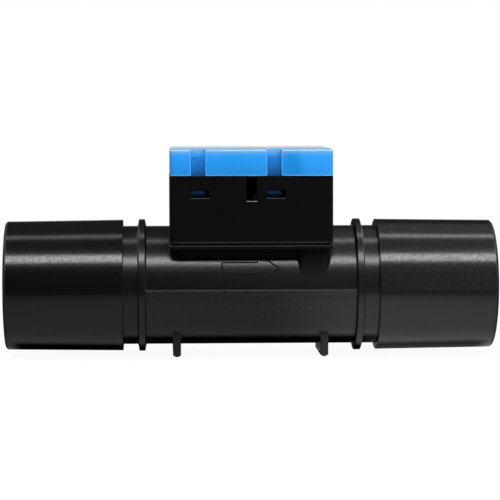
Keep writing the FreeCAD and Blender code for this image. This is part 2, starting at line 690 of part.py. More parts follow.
def make_board():
    body = new_body("circuit_board")
    plan = new_sketch(body, "BoardPlan", "XY_Plane", "board_level")
    centred_rectangle(plan, "board_length", "board_width", "bay_corner")
    for along, across in four_corners("screw_along", "screw_across"):
        circle(plan, along, across, "screw_hole_radius")
    pad(body, "Board", plan, "board_thickness")
    return body


def make_flow_chip():
    """Sensing chip on the underside of the board, in the bypass channel."""
    body = new_body("flow_chip")
    plan = new_sketch(body, "FlowChipPlan", "XY_Plane", "board_level")
    centred_rectangle(plan, "flow_chip_length", "flow_chip_width")
    pad(body, "FlowChip", plan, "flow_chip_height", backwards=True)
    return body


def make_chip(label, along, across, length, width, height):
    body = new_body(label)
    plan = new_sketch(body, "Plan_" + label, "XY_Plane", "board_top_level")
    rectangle(plan, along + " - %s / 2" % length, along + " + %s / 2" % length,
              across + " - %s / 2" % width, across + " + %s / 2" % width)
    pad(body, "Package_" + label, plan, height)
    return body


def add_leads(body, along, across, width, height, count, pitch, lead_width):
    """Bent leads along both sides of a chip: out of the package, down and flat on the board."""
    first = along + " - (%s - 1) / 2 * %s" % (count, pitch)
    section = new_sketch(body, "Lead_" + body.Label, "YZ_Plane", first)
    upper = "board_top_level + %s / 2" % height
    lower = upper + " - lead_thickness"
    for side in (" - ", " + "):
        root = across + side + width + " / 2"
        knee = root + side + "lead_reach / 2"
        toe = root + side + "lead_reach"
        heel = root + side + "(lead_reach / 2 - lead_thickness)"
        outline(section,
                (root, upper), (knee, upper), (knee, "board_top_level + lead_thickness"),
                (toe, "board_top_level + lead_thickness"), (toe, "board_top_level"),
                (heel, "board_top_level"), (heel, lower), (root, lower))
    lead = pad(body, "LeadPair_" + body.Label, section, lead_width, both_ways=True)
    row_of(body, "Leads_" + body.Label, lead, "X_Axis", count, pitch)


def make_signal_chip():
    return make_chip("signal_chip", "signal_chip_along", "0", "signal_chip_side", "signal_chip_side",
                     "signal_chip_height")


def make_memory_chip():
    place = ("memory_along", "memory_across")
    body = make_chip("memory_chip", *place, "memory_length", "memory_width", "memory_height")
    add_leads(body, *place, "memory_width", "memory_height", "4", "memory_pitch", "memory_lead")
    return body


def make_regulator():
    place = ("regulator_along", "regulator_across")
    body = make_chip("voltage_regulator", *place, "regulator_length", "regulator_width", "regulator_height")
    add_leads(body, *place, "regulator_width", "regulator_height", "3", "regulator_pitch", "regulator_lead")
    return body


def make_passives(label, side, height):
    """Row of small two-ended parts along one side of the board."""
    body = new_body(label, separate_solids=True)
    plan = new_sketch(body, "Plan_" + label, "XY_Plane", "board_top_level")
    across = side + "passive_across"
    rectangle(plan, "passive_start - passive_width / 2", "passive_start + passive_width / 2",
              across + " - passive_length / 2", across + " + passive_length / 2")
    first = pad(body, "First_" + label, plan, height)
    row_of(body, "Row_" + label, first, "X_Axis", "passive_count", "passive_pitch")
    return body


def make_connector_shroud():
    """Side-entry header: a box open at the housing's end, keyed on top, with its pins through the back."""
    body = new_body("connector_shroud")
    top = "board_top_level + shroud_height"
    section = new_sketch(body, "ShroudSection", "YZ_Plane", "shroud_rear")
    rectangle(section, "-shroud_width / 2", "shroud_width / 2", "board_top_level", top)
    pad(body, "Shroud", section, "shroud_length")
    mouth = new_sketch(body, "MouthSection", "YZ_Plane", "shroud_mouth")
    rectangle(mouth, "shroud_wall - shroud_width / 2", "shroud_width / 2 - shroud_wall",
              "board_top_level + shroud_wall", top + " - shroud_wall")
    pocket(body, "Mouth", mouth, "shroud_length - shroud_back")
    keys = new_sketch(body, "KeyPlan", "XY_Plane", top)
    for side in ("-", ""):
        middle = side + "shroud_width / 4"
        rectangle(keys, "shroud_rear + shroud_back", "shroud_mouth",
                  middle + " - shroud_key / 2", middle + " + shroud_key / 2")
    pocket(body, "Keys", keys, "shroud_wall")
    hole = new_sketch(body, "PinHole", "YZ_Plane", "shroud_rear + shroud_back")
    side = "-(plug_width - plug_pin) / 2"
    reach = "(plug_pin / 2 + plug_pin_gap)"
    rectangle(hole, side + " - " + reach, side + " + " + reach,
              "plug_level - " + reach, "plug_level + " + reach)
    first = pocket(body, "FirstPinHole", hole, "shroud_back")
    row_of(body, "PinHoles", first, "Y_Axis", "pin_count", "plug_pitch")
    return body


def make_connector_pins():
    """Bent square pins: along the shroud, down behind its back and flat on the board."""
    body = new_body("connector_pins", separate_solids=True)
    side = new_sketch(body, "PinSide", "XZ_Plane", "(plug_width - plug_pin) / 2")
    tip = "shroud_mouth - plug_pin_tip"
    leg = "shroud_rear - plug_pin"
    toe = leg + " - plug_foot"
    outline(side,
            (tip, "plug_level - plug_pin / 2"), (tip, "plug_level + plug_pin / 2"),
            (leg, "plug_level + plug_pin / 2"), (leg, "board_top_level + plug_pin"),
            (toe, "board_top_level + plug_pin"), (toe, "board_top_level"),
            ("shroud_rear", "board_top_level"), ("shroud_rear", "plug_level - plug_pin / 2"))
    first = pad(body, "FirstPin", side, "plug_pin", both_ways=True)
    row_of(body, "Pins", first, "Y_Axis", "pin_count", "plug_pitch")
    return body


def make_board_screws():
    """Screws that go down through board, boss and floor into the platform."""
    body = new_body("board_screws", separate_solids=True)
    shanks = new_sketch(body, "ShankPlan", "XY_Plane", "screw_end_level")
    heads = new_sketch(body, "HeadPlan", "XY_Plane", "board_top_level")
    for along, across in four_corners("screw_along", "screw_across"):
        circle(shanks, along, across, "screw_radius")
        circle(heads, along, across, "screw_head_dia / 2")
    pad(body, "Shanks", shanks, "board_top_level - screw_end_level")
    pad(body, "Heads", heads, "screw_head_height")
    return body


def make_housing():
    """Rectangular shell: a skirt over the platform, a floor with bosses and the bay that holds the board."""
    body = new_body("sensor_housing")
    plan = new_sketch(body, "HousingPlan", "XY_Plane", "deck_level")
    centred_rectangle(plan, "housing_length", "housing_width", "housing_corner")
    block = pad(body, "HousingBlock", plan, "rim_level - deck_level")
    dressed(body, "Chamfer", "LowerEdge", block, "deck_level", "housing_bevel")
    skirt = new_sketch(body, "SkirtPlan", "XY_Plane", "deck_level")
    centred_rectangle(skirt, "bay_length", "bay_width", "bay_corner")
    pocket(body, "Skirt", skirt, "platform_rise", backwards=True)
    arch = new_sketch(body, "ArchSection", "YZ_Plane")
    circle(arch, "0", "0", "neck_radius + arch_gap")
    pocket(body, "Arches", arch, "2 * housing_length", both_ways=True)
    bay = new_sketch(body, "BayPlan", "XY_Plane", "rim_level")
    centred_rectangle(bay, "bay_length", "bay_width", "bay_corner")
    pocket(body, "Bay", bay, "rim_level - floor_level")

    bosses = new_sketch(body, "BossPlan", "XY_Plane", "floor_level")
    holes = new_sketch(body, "ScrewHolePlan", "XY_Plane", "board_level")
    for along, across in four_corners("screw_along", "screw_across"):
        circle(bosses, along, across, "boss_dia / 2")
        circle(holes, along, across, "screw_hole_radius")
    pad(body, "Bosses", bosses, "board_level - floor_level")
    pocket(body, "ScrewHoles", holes, "board_level - platform_level")
    opening = new_sketch(body, "BlockOpeningPlan", "XY_Plane", "floor_level")
    centred_rectangle(opening, "block_length + 2 * block_gap", "block_width + 2 * block_gap")
    pocket(body, "BlockOpening", opening, "floor_thickness")

    front = "housing_width / 2"
    walls = (("Front", front, "window_far", False), ("Rear", "-" + front, "window_near", True))
    for name, lift, far_gap, backwards in walls:
        sketch = new_sketch(body, name + "WindowPlan", "XZ_Plane", lift)
        rectangle(sketch, "arm_near - arm_width / 2 - window_near", "arm_near + arm_width / 2 + " + far_gap,
                  "window_level - window_height", "window_level")
        window = pocket(body, name + "Window", sketch, "housing_wall", backwards=backwards)
        row_of(body, name + "Windows", window, "X_Axis", "2", "arm_far - arm_near")
    slot = new_sketch(body, "SlotPlan", "XZ_Plane", front)
    rectangle(slot, "-slot_width / 2", "slot_width / 2", "rim_level - slot_depth", "rim_level")
    pocket(body, "PrySlot", slot, "housing_wall")
    plug = new_sketch(body, "PlugFace", "YZ_Plane", "housing_length / 2")
    rectangle(plug, "-shroud_width / 2 - shroud_gap", "shroud_width / 2 + shroud_gap",
              "board_top_level - shroud_gap", "rim_level")
    pocket(body, "PlugWindow", plug, "housing_wall")
    return body


def make_cap():
    """Lid: a shallow shell that swells beside the connector, with a locating lip and a notch at each arm."""
    body = new_body("cap")
    plan = new_sketch(body, "CapPlan", "XY_Plane", "rim_level")
    swelling_plan(plan, "cap_end", "cap_side", "cap_corner",
                  "bulge_from", "bulge_to", "bulge_side", "bulge_radius")
    block = pad(body, "CapBlock", plan, "cap_height")
    dressed(body, "Fillet", "UpperEdge", block, "cap_level", "cap_round")
    hollow = new_sketch(body, "HollowPlan", "XY_Plane", "rim_level")
    centred_rectangle(hollow, "2 * (cap_end - cap_end_wall)", "2 * arm_outer", "bay_corner")
    pocket(body, "Hollow", hollow, "plate_level - rim_level", backwards=True)

    lip = new_sketch(body, "LipPlan", "XY_Plane", "rim_level - lip_depth")
    reach = "(arm_width / 2 + lip_arm_gap)"
    stretches = (("arm_near + " + reach, "-slot_width / 2 - lip_arm_gap"), ("arm_far + " + reach, "lip_end"))
    for start, end in stretches:
        rectangle(lip, start, end, "lip_inner", "arm_outer")
        rectangle(lip, start, end, "-arm_outer", "-lip_inner")
    pad(body, "Lip", lip, "lip_depth + lip_root")

    notches = new_sketch(body, "NotchPlan", "XY_Plane", "rim_level")
    for arm in ("arm_near", "arm_far"):
        left = arm + " - arm_width / 2"
        right = arm + " + arm_width / 2"
        rectangle(notches, left, right, "arm_outer", "bulge_side")
        rectangle(notches, left, right, "-bulge_side", "-arm_outer")
    pocket(body, "Notches", notches, "cap_height", backwards=True)
    return body


def make_snap_arms():
    """Arms that hang from the lid's plate behind its notches and hook into the housing's windows."""
    body = new_body("cap_snap_arms", separate_solids=True)
    section = new_sketch(body, "ArmSection", "YZ_Plane", "arm_near")
    for side in ("-", ""):
        outline(section,
                (side + "arm_inner", "plate_level"), (side + "arm_inner", "arm_end_level"),
                (side + "arm_outer", "arm_end_level"), (side + "hook_outer", "hook_level - hook_land"),
                (side + "hook_outer", "hook_level"), (side + "arm_outer", "hook_level"),
                (side + "arm_outer", "plate_level"))
    pair = pad(body, "InletArms", section, "arm_width", both_ways=True)
    row_of(body, "Arms", pair, "X_Axis", "2", "arm_far - arm_near")
    return body


parts = [
    make_flow_tube(),
    make_screen("inlet_mesh", "-"),
    make_screen("outlet_mesh", ""),
    make_retainer("inlet_mesh_ring", "-"),
    make_retainer("outlet_mesh_ring", ""),
    make_restrictor(),
    make_tap_seals(),
    make_bypass_block(),
    make_gasket(),
    make_board(),
    make_flow_chip(),
    make_signal_chip(),
    make_memory_chip(),
    make_regulator(),
    make_passives("capacitors", "", "capacitor_height"),
    make_passives("resistors", "-", "resistor_height"),
    make_connector_shroud(),
    make_connector_pins(),
    make_board_screws(),
    make_housing(),
    make_cap(),
    make_snap_arms(),
]
doc.recompute()
for thing in doc.Objects:
    if "Invalid" in thing.State or "Error" in thing.State:
        raise RuntimeError(thing.Name + " failed: " + ", ".join(thing.State))
for part in parts:
    if part.Shape.isNull() or not part.Shape.isValid():
        raise RuntimeError(part.Label + " has no valid shape")

os.makedirs("parts", exist_ok=True)
for part in parts:
    part.Shape.exportStep("parts/%s.step" % part.Label)
    print(part.Label, len(part.Shape.Solids), "solids, %.2f mm3" % part.Shape.Volume)
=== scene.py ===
import math
import bmesh
import bpy
from mathutils import Matrix, Vector


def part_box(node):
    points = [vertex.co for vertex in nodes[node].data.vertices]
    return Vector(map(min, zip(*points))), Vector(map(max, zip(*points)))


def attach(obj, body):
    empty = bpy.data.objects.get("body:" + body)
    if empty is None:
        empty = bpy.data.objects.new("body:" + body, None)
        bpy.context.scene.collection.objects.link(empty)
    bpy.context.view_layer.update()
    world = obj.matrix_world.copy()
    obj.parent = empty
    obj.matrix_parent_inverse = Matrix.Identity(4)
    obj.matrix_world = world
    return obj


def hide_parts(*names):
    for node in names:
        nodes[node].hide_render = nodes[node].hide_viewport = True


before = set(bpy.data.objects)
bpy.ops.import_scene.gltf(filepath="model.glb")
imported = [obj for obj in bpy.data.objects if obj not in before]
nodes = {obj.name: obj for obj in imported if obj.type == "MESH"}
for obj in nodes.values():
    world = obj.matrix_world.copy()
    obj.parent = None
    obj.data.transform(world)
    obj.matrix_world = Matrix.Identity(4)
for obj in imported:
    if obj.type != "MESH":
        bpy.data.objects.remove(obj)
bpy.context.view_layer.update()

mm = 0.001
hair = 0.02 * mm    # places closer than this count as one
axis = sum(corner.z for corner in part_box("inlet_mesh")) / 2    # height of the tube's axis
housingLow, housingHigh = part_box("sensor_housing")
armsLow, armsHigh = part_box("cap_snap_arms")
deckTop = housingLow.z
rim = housingHigh.z
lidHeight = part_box("cap")[1].z
windowSill = armsLow.z    # lower edge of the snap windows
plateUnder = armsHigh.z    # underside of the lid's top plate
print("frame loaded:", len(nodes), "nodes")


# Node trees written as sums

factor, firstColour, secondColour, mixedColour = 0, 6, 7, 2    # sockets of a Mix node


class Wire:
    def __init__(self, tree, socket):
        self.tree = tree
        self.socket = socket

    def node(self, kind, values, output=0, **settings):    # settings first, then the sockets
        made = self.tree.nodes.new(kind)
        for name, value in settings.items():
            setattr(made, name, value)
        for name, value in values.items():
            if isinstance(value, Wire):
                self.tree.links.new(value.socket, made.inputs[name])
            else:
                made.inputs[name].default_value = value
        return Wire(self.tree, made.outputs[output])

    def math(self, operation, *values):
        return self.node("ShaderNodeMath", dict(enumerate(values)), operation=operation)

    def to(self, operation, *others):    # this value comes first
        return self.math(operation, self, *others)

    def __add__(self, other):
        return self.to("ADD", other)

    def __sub__(self, other):
        return self.to("SUBTRACT", other)

    def __rsub__(self, other):
        return self.math("SUBTRACT", other, self)

    def __mul__(self, other):
        return self.to("MULTIPLY", other)

    def __truediv__(self, other):
        return self.to("DIVIDE", other)

    def __neg__(self):
        return self.to("MULTIPLY", -1)

    def __abs__(self):
        return self.to("ABSOLUTE")

    __radd__ = __add__
    __rmul__ = __mul__

    def geo(self, kind, values, **settings):
        return self.node("GeometryNode" + kind, values, **settings)

    def vector(self, **parts):
        return self.node("ShaderNodeCombineXYZ", parts)

    def part(self, letter):
        return self.node("ShaderNodeSeparateXYZ", {0: self}, letter)

    def step(self, low, high):    # 0 below low, 1 above high, smooth between
        return self.node("ShaderNodeMapRange", {"Value": self, "From Min": low, "From Max": high},
                         interpolation_type="SMOOTHSTEP")

    def between(self, low, high, soft):    # 1 between low and high
        return self.step(low - soft, low + soft) * (1 - self.step(high - soft, high + soft))

    def swing(self, amount):    # a noise turned into a change to both sides of 0
        return (self - 0.5) * amount

    def noise(self, size, detail=2.0, rough=0.55):    # size of a grain in metres
        values = {"Vector": self, "Scale": 1 / size, "Detail": detail, "Roughness": rough}
        return self.node("ShaderNodeTexNoise", values, "Fac")

    def domes(self, size):    # packed round grains, 0 in the middle of each
        far = self.node("ShaderNodeTexVoronoi", {"Vector": self, "Scale": 1 / size}, "Distance")
        return far * far

    def stretched(self, x, y, z):
        return self.node("ShaderNodeMapping", {"Vector": self, "Scale": (x, y, z)})

    def tint(self, first, second):    # colour between two, by this value
        first, second = [value if isinstance(value, Wire) else (*value, 1) for value in (first, second)]
        ends = {factor: self, firstColour: first, secondColour: second}
        return self.node("ShaderNodeMix", ends, mixedColour, data_type="RGBA")

    def bump(self, depth):    # depth of the relief in metres
        return self.node("ShaderNodeBump", {"Height": self, "Distance": depth, "Strength": 1.0}, "Normal")


def finishOf(name, recipe, **fixed):    # recipe gives what varies, fixed sets plain sockets
    material = bpy.data.materials.new(name)
    material.use_nodes = True
    tree = material.node_tree
    shader = tree.nodes["Principled BSDF"]
    for socket, value in fixed.items():
        shader.inputs[socket.replace("_", " ")].default_value = value
    place = Wire(tree, tree.nodes.new("ShaderNodeTexCoord").outputs["Object"])
    for socket, wire in recipe(place).items():
        tree.links.new(wire.socket, shader.inputs[socket])
    return material


# Measures of the tube, read from its solid

measure = {"leastRadius": 9 * mm, "coneRise": 0.9 * mm, "railRise": 0.1 * mm, "deckPast": 0.3 * mm}
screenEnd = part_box("outlet_mesh")[1].x
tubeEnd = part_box("flow_tube")[1].x
deckEnd = housingHigh.x + measure["deckPast"]
spots = [vert.co for vert in nodes["flow_tube"].data.vertices]


def farOf(place):    # distance from the tube's axis
    return math.hypot(place.y, place.z - axis)


neck = min(farOf(spot) for spot in spots    # radius of the plain tube
           if abs(spot.x) > screenEnd - mm and farOf(spot) > measure["leastRadius"])
coneStart = min(abs(spot.x) for spot in spots
                if abs(spot.x) > screenEnd and farOf(spot) > neck + measure["coneRise"])
railFace = min(spot.y for spot in spots
               if abs(spot.z - axis) < hair and spot.y > neck + measure["railRise"])
print("tube: radius %.5f, cones from %.5f, rails to %.5f" % (neck, coneStart, railFace))


# Finishes of the moulded pieces

tube = {"dark": (0.0009, 0.0010, 0.0011), "light": (0.0019, 0.0020, 0.0022), "meltTint": 0.8,
        "grainTint": 0.3, "melt": 0.006, "meltStretch": 0.25, "meltRough": 0.05, "grain": 0.00030,
        "relief": 0.000003, "pits": 0.05, "pitFrom": 0.06, "pitTo": 0.30, "pitLoss": 0.4, "topFrom": 0.05,
        "topTo": 0.34, "topShift": 0.6, "glint": 0.4, "lowGlint": 0.12, "neckGlint": 0.35, "coneGlint": 0.3,
        "wornBelow": 0.002, "wornAbove": 0.001, "sparkle": 0.9, "neckSparkle": 0.85, "coneLoss": 0.05,
        "coneSoft": 0.0001, "coneShare": 0.8, "coneRough": 0.15, "neckRough": 0.22, "endRough": 0.55,
        "endFrom": 0.00055}


def tubeRecipe(place):
    along = abs(place.part("X"))
    onCone = along.step(coneStart - tube["coneSoft"], coneStart + tube["coneSoft"])
    atEnd = along.step(tubeEnd - tube["endFrom"], tubeEnd - tube["endFrom"] / 2)    # dull mouth
    grain = place.domes(tube["grain"])
    melt = place.stretched(tube["meltStretch"], 1, 1).noise(tube["melt"])    # faint marks along the tube
    relief = grain * (1 - onCone * (1 - tube["coneShare"]))
    pits = grain.step(tube["pitFrom"], tube["pitTo"]) * tube["pits"]    # duller between the grains
    pits = pits * (1 - onCone * tube["pitLoss"])
    rough = tube["neckRough"] + onCone * (tube["coneRough"] - tube["neckRough"])
    rough = rough + melt.swing(tube["meltRough"]) + pits
    worn = place.part("Z").step(axis - tube["wornBelow"], axis + tube["wornAbove"])
    worn = worn * (tube["neckGlint"] + onCone * tube["coneGlint"]) + tube["lowGlint"]    # weaker below
    tops = (tube["topShift"] - grain.step(tube["topFrom"], tube["topTo"])) * worn    # shiny grains
    sparkle = (tube["glint"] + tops) * tube["sparkle"]
    sparkle = sparkle * (tube["neckSparkle"] - onCone * tube["coneLoss"]) * (1 - atEnd)
    shade = melt * tube["meltTint"] + grain * tube["grainTint"]
    return {"Base Color": shade.tint(tube["dark"], tube["light"]),
            "Roughness": rough + atEnd * tube["endRough"],
            "Coat Weight": sparkle,
            "Normal": (-relief).bump(tube["relief"])}


# the sill and edge colours are painted highlights
housing = {"dark": (0.0007, 0.0008, 0.0010), "light": (0.0012, 0.0013, 0.0016),
           "edgeDark": (0.002, 0.002, 0.0022), "edgeLight": (0.026, 0.026, 0.027),
           "sillDark": (0.030, 0.029, 0.027), "sillLight": (0.24, 0.235, 0.225), "slotTint": 0.8,
           "sillNoiseTint": 0.2, "fadeFrom": 0.0114, "fadeTo": 0.0132, "slotFrom": 0.3 * mm, "slotTo": 0.2 * mm,
           "grain": 0.00016, "relief": 0.000007, "cloud": 0.007, "edgeNoise": 0.0012, "sillNoise": 0.0008,
           "rough": 0.52, "edgeRough": 0.40, "sillRough": 0.42, "cloudRough": 0.12, "grainRough": 0.1,
           "noiseRough": 0.2}


def housingRecipe(place):
    grain = place.noise(housing["grain"])
    cloud = place.noise(housing["cloud"], 3)
    rough = housing["rough"] + cloud.swing(housing["cloudRough"]) + grain.swing(housing["grainRough"])
    return {"Base Color": cloud.tint(housing["dark"], housing["light"]),
            "Roughness": rough,
            "Normal": grain.bump(housing["relief"])}


def edgeHighlightRecipe(dark, light, rough):    # painted highlight along the eased edges, broken by noise, less so at the upright corners
    def recipe(place):
        highlightNoise = place.noise(housing["edgeNoise"], 3)
        fade = 1 - abs(place.part("X")).step(housing["fadeFrom"], housing["fadeTo"])
        return {"Base Color": (highlightNoise * fade).tint(dark, light),
                "Roughness": rough + highlightNoise.swing(housing["noiseRough"])}
    return recipe


def housingSillRecipe(place):    # painted highlight on the sills of windows and slot, brightest on the slot's
    highlightNoise = place.noise(housing["sillNoise"], 3)
    slot = 1 - place.part("Z").step(windowSill - housing["slotFrom"], windowSill - housing["slotTo"])
    shade = slot * housing["slotTint"] + highlightNoise * housing["sillNoiseTint"]
    return {"Base Color": shade.tint(housing["sillDark"], housing["sillLight"]),
            "Roughness": housing["sillRough"] + highlightNoise.swing(housing["noiseRough"])}


# the crown, edge and hem colours are painted highlights, the top colour is painted shade, and so is the hook
# colour
lid = {"deep": (0.0085, 0.190, 0.53), "pale": (0.020, 0.272, 0.74), "crownHighlight": (0.16, 0.34, 0.50),
       "top": (0.010, 0.155, 0.39), "topPale": (0.012, 0.175, 0.44), "edge": (0.10, 0.38, 0.82),
       "hemHighlight": (0.30, 0.60, 0.95), "hook": (0.0008, 0.045, 0.16),
       "cloudTint": 0.4, "heightShade": 0.8, "tintDrop": 0.1, "sinkShadeShare": 0.4, "swellHighlightShare": 0.3,
       "sinkFrom": 0.0050, "sinkTo": 0.0078, "sinkSoft": 0.0012, "swellFrom": 0.0090, "swellSoft": 0.001,
       "crownFrom": 1.3 * mm, "crownTo": 0.1 * mm, "grain": 0.00018, "relief": 0.000004,
       "cloud": 0.004, "cloudStretch": 0.4, "rough": 0.22, "topRough": 0.12, "cloudRough": 0.08,
       "grainRough": 0.08, "edgeRough": 0.1}


def lidSurface(place, colour, cloud, rough):    # what front, top and arms share
    grain = place.noise(lid["grain"])
    return {"Base Color": colour,
            "Roughness": rough + cloud.swing(lid["cloudRough"]) + grain.swing(lid["grainRough"]),
            "Normal": grain.bump(lid["relief"])}


def uprightCloud(place):
    return place.stretched(1, 1, lid["cloudStretch"]).noise(lid["cloud"])


# the top is coloured darker than the front: painted shade on the face that takes the most light
def lidTopRecipe(place):
    cloud = place.noise(lid["cloud"])
    return lidSurface(place, cloud.tint(lid["top"], lid["topPale"]), cloud, lid["topRough"])


def lidRecipe(place):
    cloud = uprightCloud(place)
    along, up = place.part("X"), place.part("Z")
    sinkShade = along.between(lid["sinkFrom"], lid["sinkTo"], lid["sinkSoft"])    # painted shade where the front is drawn in before the swelling
    swellHighlight = along.step(lid["swellFrom"] - lid["swellSoft"], lid["swellFrom"] + lid["swellSoft"])
    crownHighlight = up.step(lidHeight - lid["crownFrom"], lidHeight - lid["crownTo"])    # painted highlight on the upper edge
    # painted shade darker towards the rim, painted shade before the swelling and painted highlight on it,
    # with random clouding
    shade = cloud * lid["cloudTint"] + up.step(rim, lidHeight) * lid["heightShade"] - lid["tintDrop"]
    shade = shade - sinkShade * lid["sinkShadeShare"] + swellHighlight * lid["swellHighlightShare"]
    colour = crownHighlight.tint(shade.tint(lid["deep"], lid["pale"]), lid["crownHighlight"])
    return lidSurface(place, colour, cloud, lid["rough"])


def armRecipe(place):    # thin arms, with painted shade darkening them towards their hooks
    cloud = uprightCloud(place)
    height = place.part("Z").step(armsLow.z, armsHigh.z)
    colour = height.tint(lid["hook"], cloud.tint(lid["deep"], lid["pale"]))
    return lidSurface(place, colour, cloud, lid["rough"])


# painted highlight on the lid's eased edges
def lidEdgeHighlightRecipe(colour):
    def recipe(place):
        grain = place.noise(lid["grain"])
        return {"Base Color": grain.tint(lid["pale"], colour),
                "Roughness": lid["rough"] + grain.swing(lid["edgeRough"])}
    return recipe


plain = {"cloudSize": 18, "grainTint": 0.4, "cloudTint": 0.6, "grainRough": 0.16}


def plainRecipe(dark, light, rough, grain, relief):    # moulded plastic or rubber with a fine grain
    def recipe(place):
        fine = place.noise(grain, 3)
        cloud = place.noise(grain * plain["cloudSize"])
        return {"Base Color": (fine * plain["grainTint"] + cloud * plain["cloudTint"]).tint(dark, light),
                "Roughness": rough + fine.swing(plain["grainRough"]),
                "Normal": fine.bump(relief)}
    return recipe


# the deep colour is painted shade under the deck, the low colour the paler lower end
saddle = {"deep": (0.0007, 0.0007, 0.0008), "low": (0.0048, 0.0048, 0.0051), "line": (0.0045, 0.0045, 0.0047),
          "lowAt": 0.0020, "deepAt": 0.0055, "grain": 0.0003, "grainTint": 0.2, "rough": 0.55,
          "grainRough": 0.16}


def saddleRecipe(place):    # matt, darker towards the top by painted shade under the deck, paler towards the lower end of the swelling
    grain = place.noise(saddle["grain"], 3)
    height = (place.part("Z") - axis).step(saddle["lowAt"], saddle["deepAt"])
    return {"Base Color": (height + grain.swing(saddle["grainTint"])).tint(saddle["low"], saddle["deep"]),
            "Roughness": saddle["rough"] + grain.swing(saddle["grainRough"])}


# painted highlight lines on the housing's lower edge and the deck's upper edge
edgeHighlightFinish = edgeHighlightRecipe(housing["edgeDark"], housing["edgeLight"], housing["edgeRough"])
deckLineHighlight = edgeHighlightRecipe(saddle["deep"], saddle["line"], saddle["rough"])
tubePlastic = finishOf("tubePlastic", tubeRecipe, IOR=1.5, Specular_IOR_Level=0.32, Coat_Roughness=0.19)
saddlePlastic = finishOf("saddlePlastic", saddleRecipe, Specular_IOR_Level=0.1)
deckLine = finishOf("deckLine", deckLineHighlight, Specular_IOR_Level=0.2)
housingPlastic = finishOf("housingPlastic", housingRecipe, IOR=1.45, Specular_IOR_Level=0.09)
housingEdge = finishOf("housingEdge", edgeHighlightFinish, IOR=1.45, Specular_IOR_Level=0.4)
# painted highlight on the sills
housingSill = finishOf("housingSill", housingSillRecipe, IOR=1.45)
lidPlastic = finishOf("lidPlastic", lidRecipe, IOR=1.48)
lidTop = finishOf("lidTop", lidTopRecipe, IOR=1.5, Coat_Weight=0.8, Coat_Roughness=0.06)
armPlastic = finishOf("armPlastic", armRecipe, IOR=1.48)
# lid edges paler than the faces: painted highlight, palest on the lower edge
lidEdge = finishOf("lidEdge", lidEdgeHighlightRecipe(lid["edge"]), IOR=1.48)
lidHem = finishOf("lidHem", lidEdgeHighlightRecipe(lid["hemHighlight"]), IOR=1.48)
plainKinds = {    # dark and light colour, roughness, size of the grain, depth of its relief
    "ringPlastic": ((0.018, 0.018, 0.02), (0.03, 0.03, 0.033), 0.5, 0.0002, 0.000008),
    "restrictorPlastic": ((0.62, 0.61, 0.57), (0.72, 0.71, 0.68), 0.42, 0.0003, 0.000006),
    "sealRubber": ((0.012, 0.012, 0.012), (0.024, 0.024, 0.023), 0.72, 0.00015, 0.000008),
    "blockPlastic": ((0.10, 0.10, 0.107), (0.135, 0.135, 0.142), 0.46, 0.0002, 0.000006),
    "nylon": ((0.68, 0.64, 0.53), (0.77, 0.74, 0.64), 0.4, 0.00025, 0.000005),
    "sensorCeramic": ((0.26, 0.26, 0.275), (0.34, 0.34, 0.355), 0.4, 0.0002, 0.000004),
}
translucent = {"nylon": {"Subsurface_Weight": 0.15, "Subsurface_Radius": (0.0008, 0.0006, 0.0004)}}
plainFinish = {name: finishOf(name, plainRecipe(*values), **translucent.get(name, {}))
               for name, values in plainKinds.items()}
print("moulded finishes made")


# Finishes of the board and its parts

board = {"mask": (0.006, 0.105, 0.035), "maskOverCopper": (0.012, 0.19, 0.062), "core": (0.42, 0.36, 0.16),
         "coreDark": 0.8, "pitch": 0.0011, "trace": 0.28, "traceSoft": 0.06, "patch": 0.005,
         "patchFlat": 0.001, "patchFrom": 0.49, "patchTo": 0.52, "skin": 0.00003, "skinEnd": 0.00001,
         "weave": 0.0002, "coreRough": 0.62, "maskGloss": 0.30, "weaveRough": 0.1, "weaveRelief": 0.15,
         "relief": 0.00003}


def boardRecipe(place):
    low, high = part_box("circuit_board")
    height = place.part("Z")

    def lines(letter):    # copper traces side by side
        turn = place.part(letter) / board["pitch"]
        off = abs((turn + 0.5).to("FRACT") - 0.5)
        return 1 - off.step(board["trace"] - board["traceSoft"], board["trace"])

    patch = place.stretched(1, 1, board["patchFlat"]).noise(board["patch"], 0)
    patch = patch.step(board["patchFrom"], board["patchTo"])    # where traces run along or across
    copper = (lines("Y") * patch).to("MAXIMUM", lines("X") * (1 - patch))
    onTop = height.step(high.z - board["skin"], high.z - board["skinEnd"])
    onFace = onTop + (1 - height.step(low.z + board["skinEnd"], low.z + board["skin"]))
    weave = place.noise(board["weave"])
    mask = copper.tint(board["mask"], board["maskOverCopper"])
    core = weave.tint(board["core"], tuple(value * board["coreDark"] for value in board["core"]))
    return {"Base Color": onFace.tint(core, mask),
            "Roughness": board["coreRough"] - onFace * board["maskGloss"] + weave.swing(board["weaveRough"]),
            "Normal": (copper * onFace + weave * board["weaveRelief"]).bump(board["relief"])}


chip = {"dark": (0.012, 0.012, 0.013), "light": (0.035, 0.035, 0.037), "lead": (0.62, 0.62, 0.60),
        "grain": 0.00012, "grainTint": 0.6, "dotTint": 0.4, "leads": 0.75 * mm, "noLeads": -1 * mm,
        "leadFrom": 0.00001, "leadTo": 0.00003, "dotAlong": 0.32, "dotAcross": 0.64, "dotFrom": 0.00022,
        "dotTo": 0.00026, "dotLow": 0.00004, "dotHigh": 0.00002, "rough": 0.62, "leadGloss": 0.32,
        "dotGloss": 0.3, "grainRough": 0.12, "grainRelief": 0.5, "relief": 0.00002}


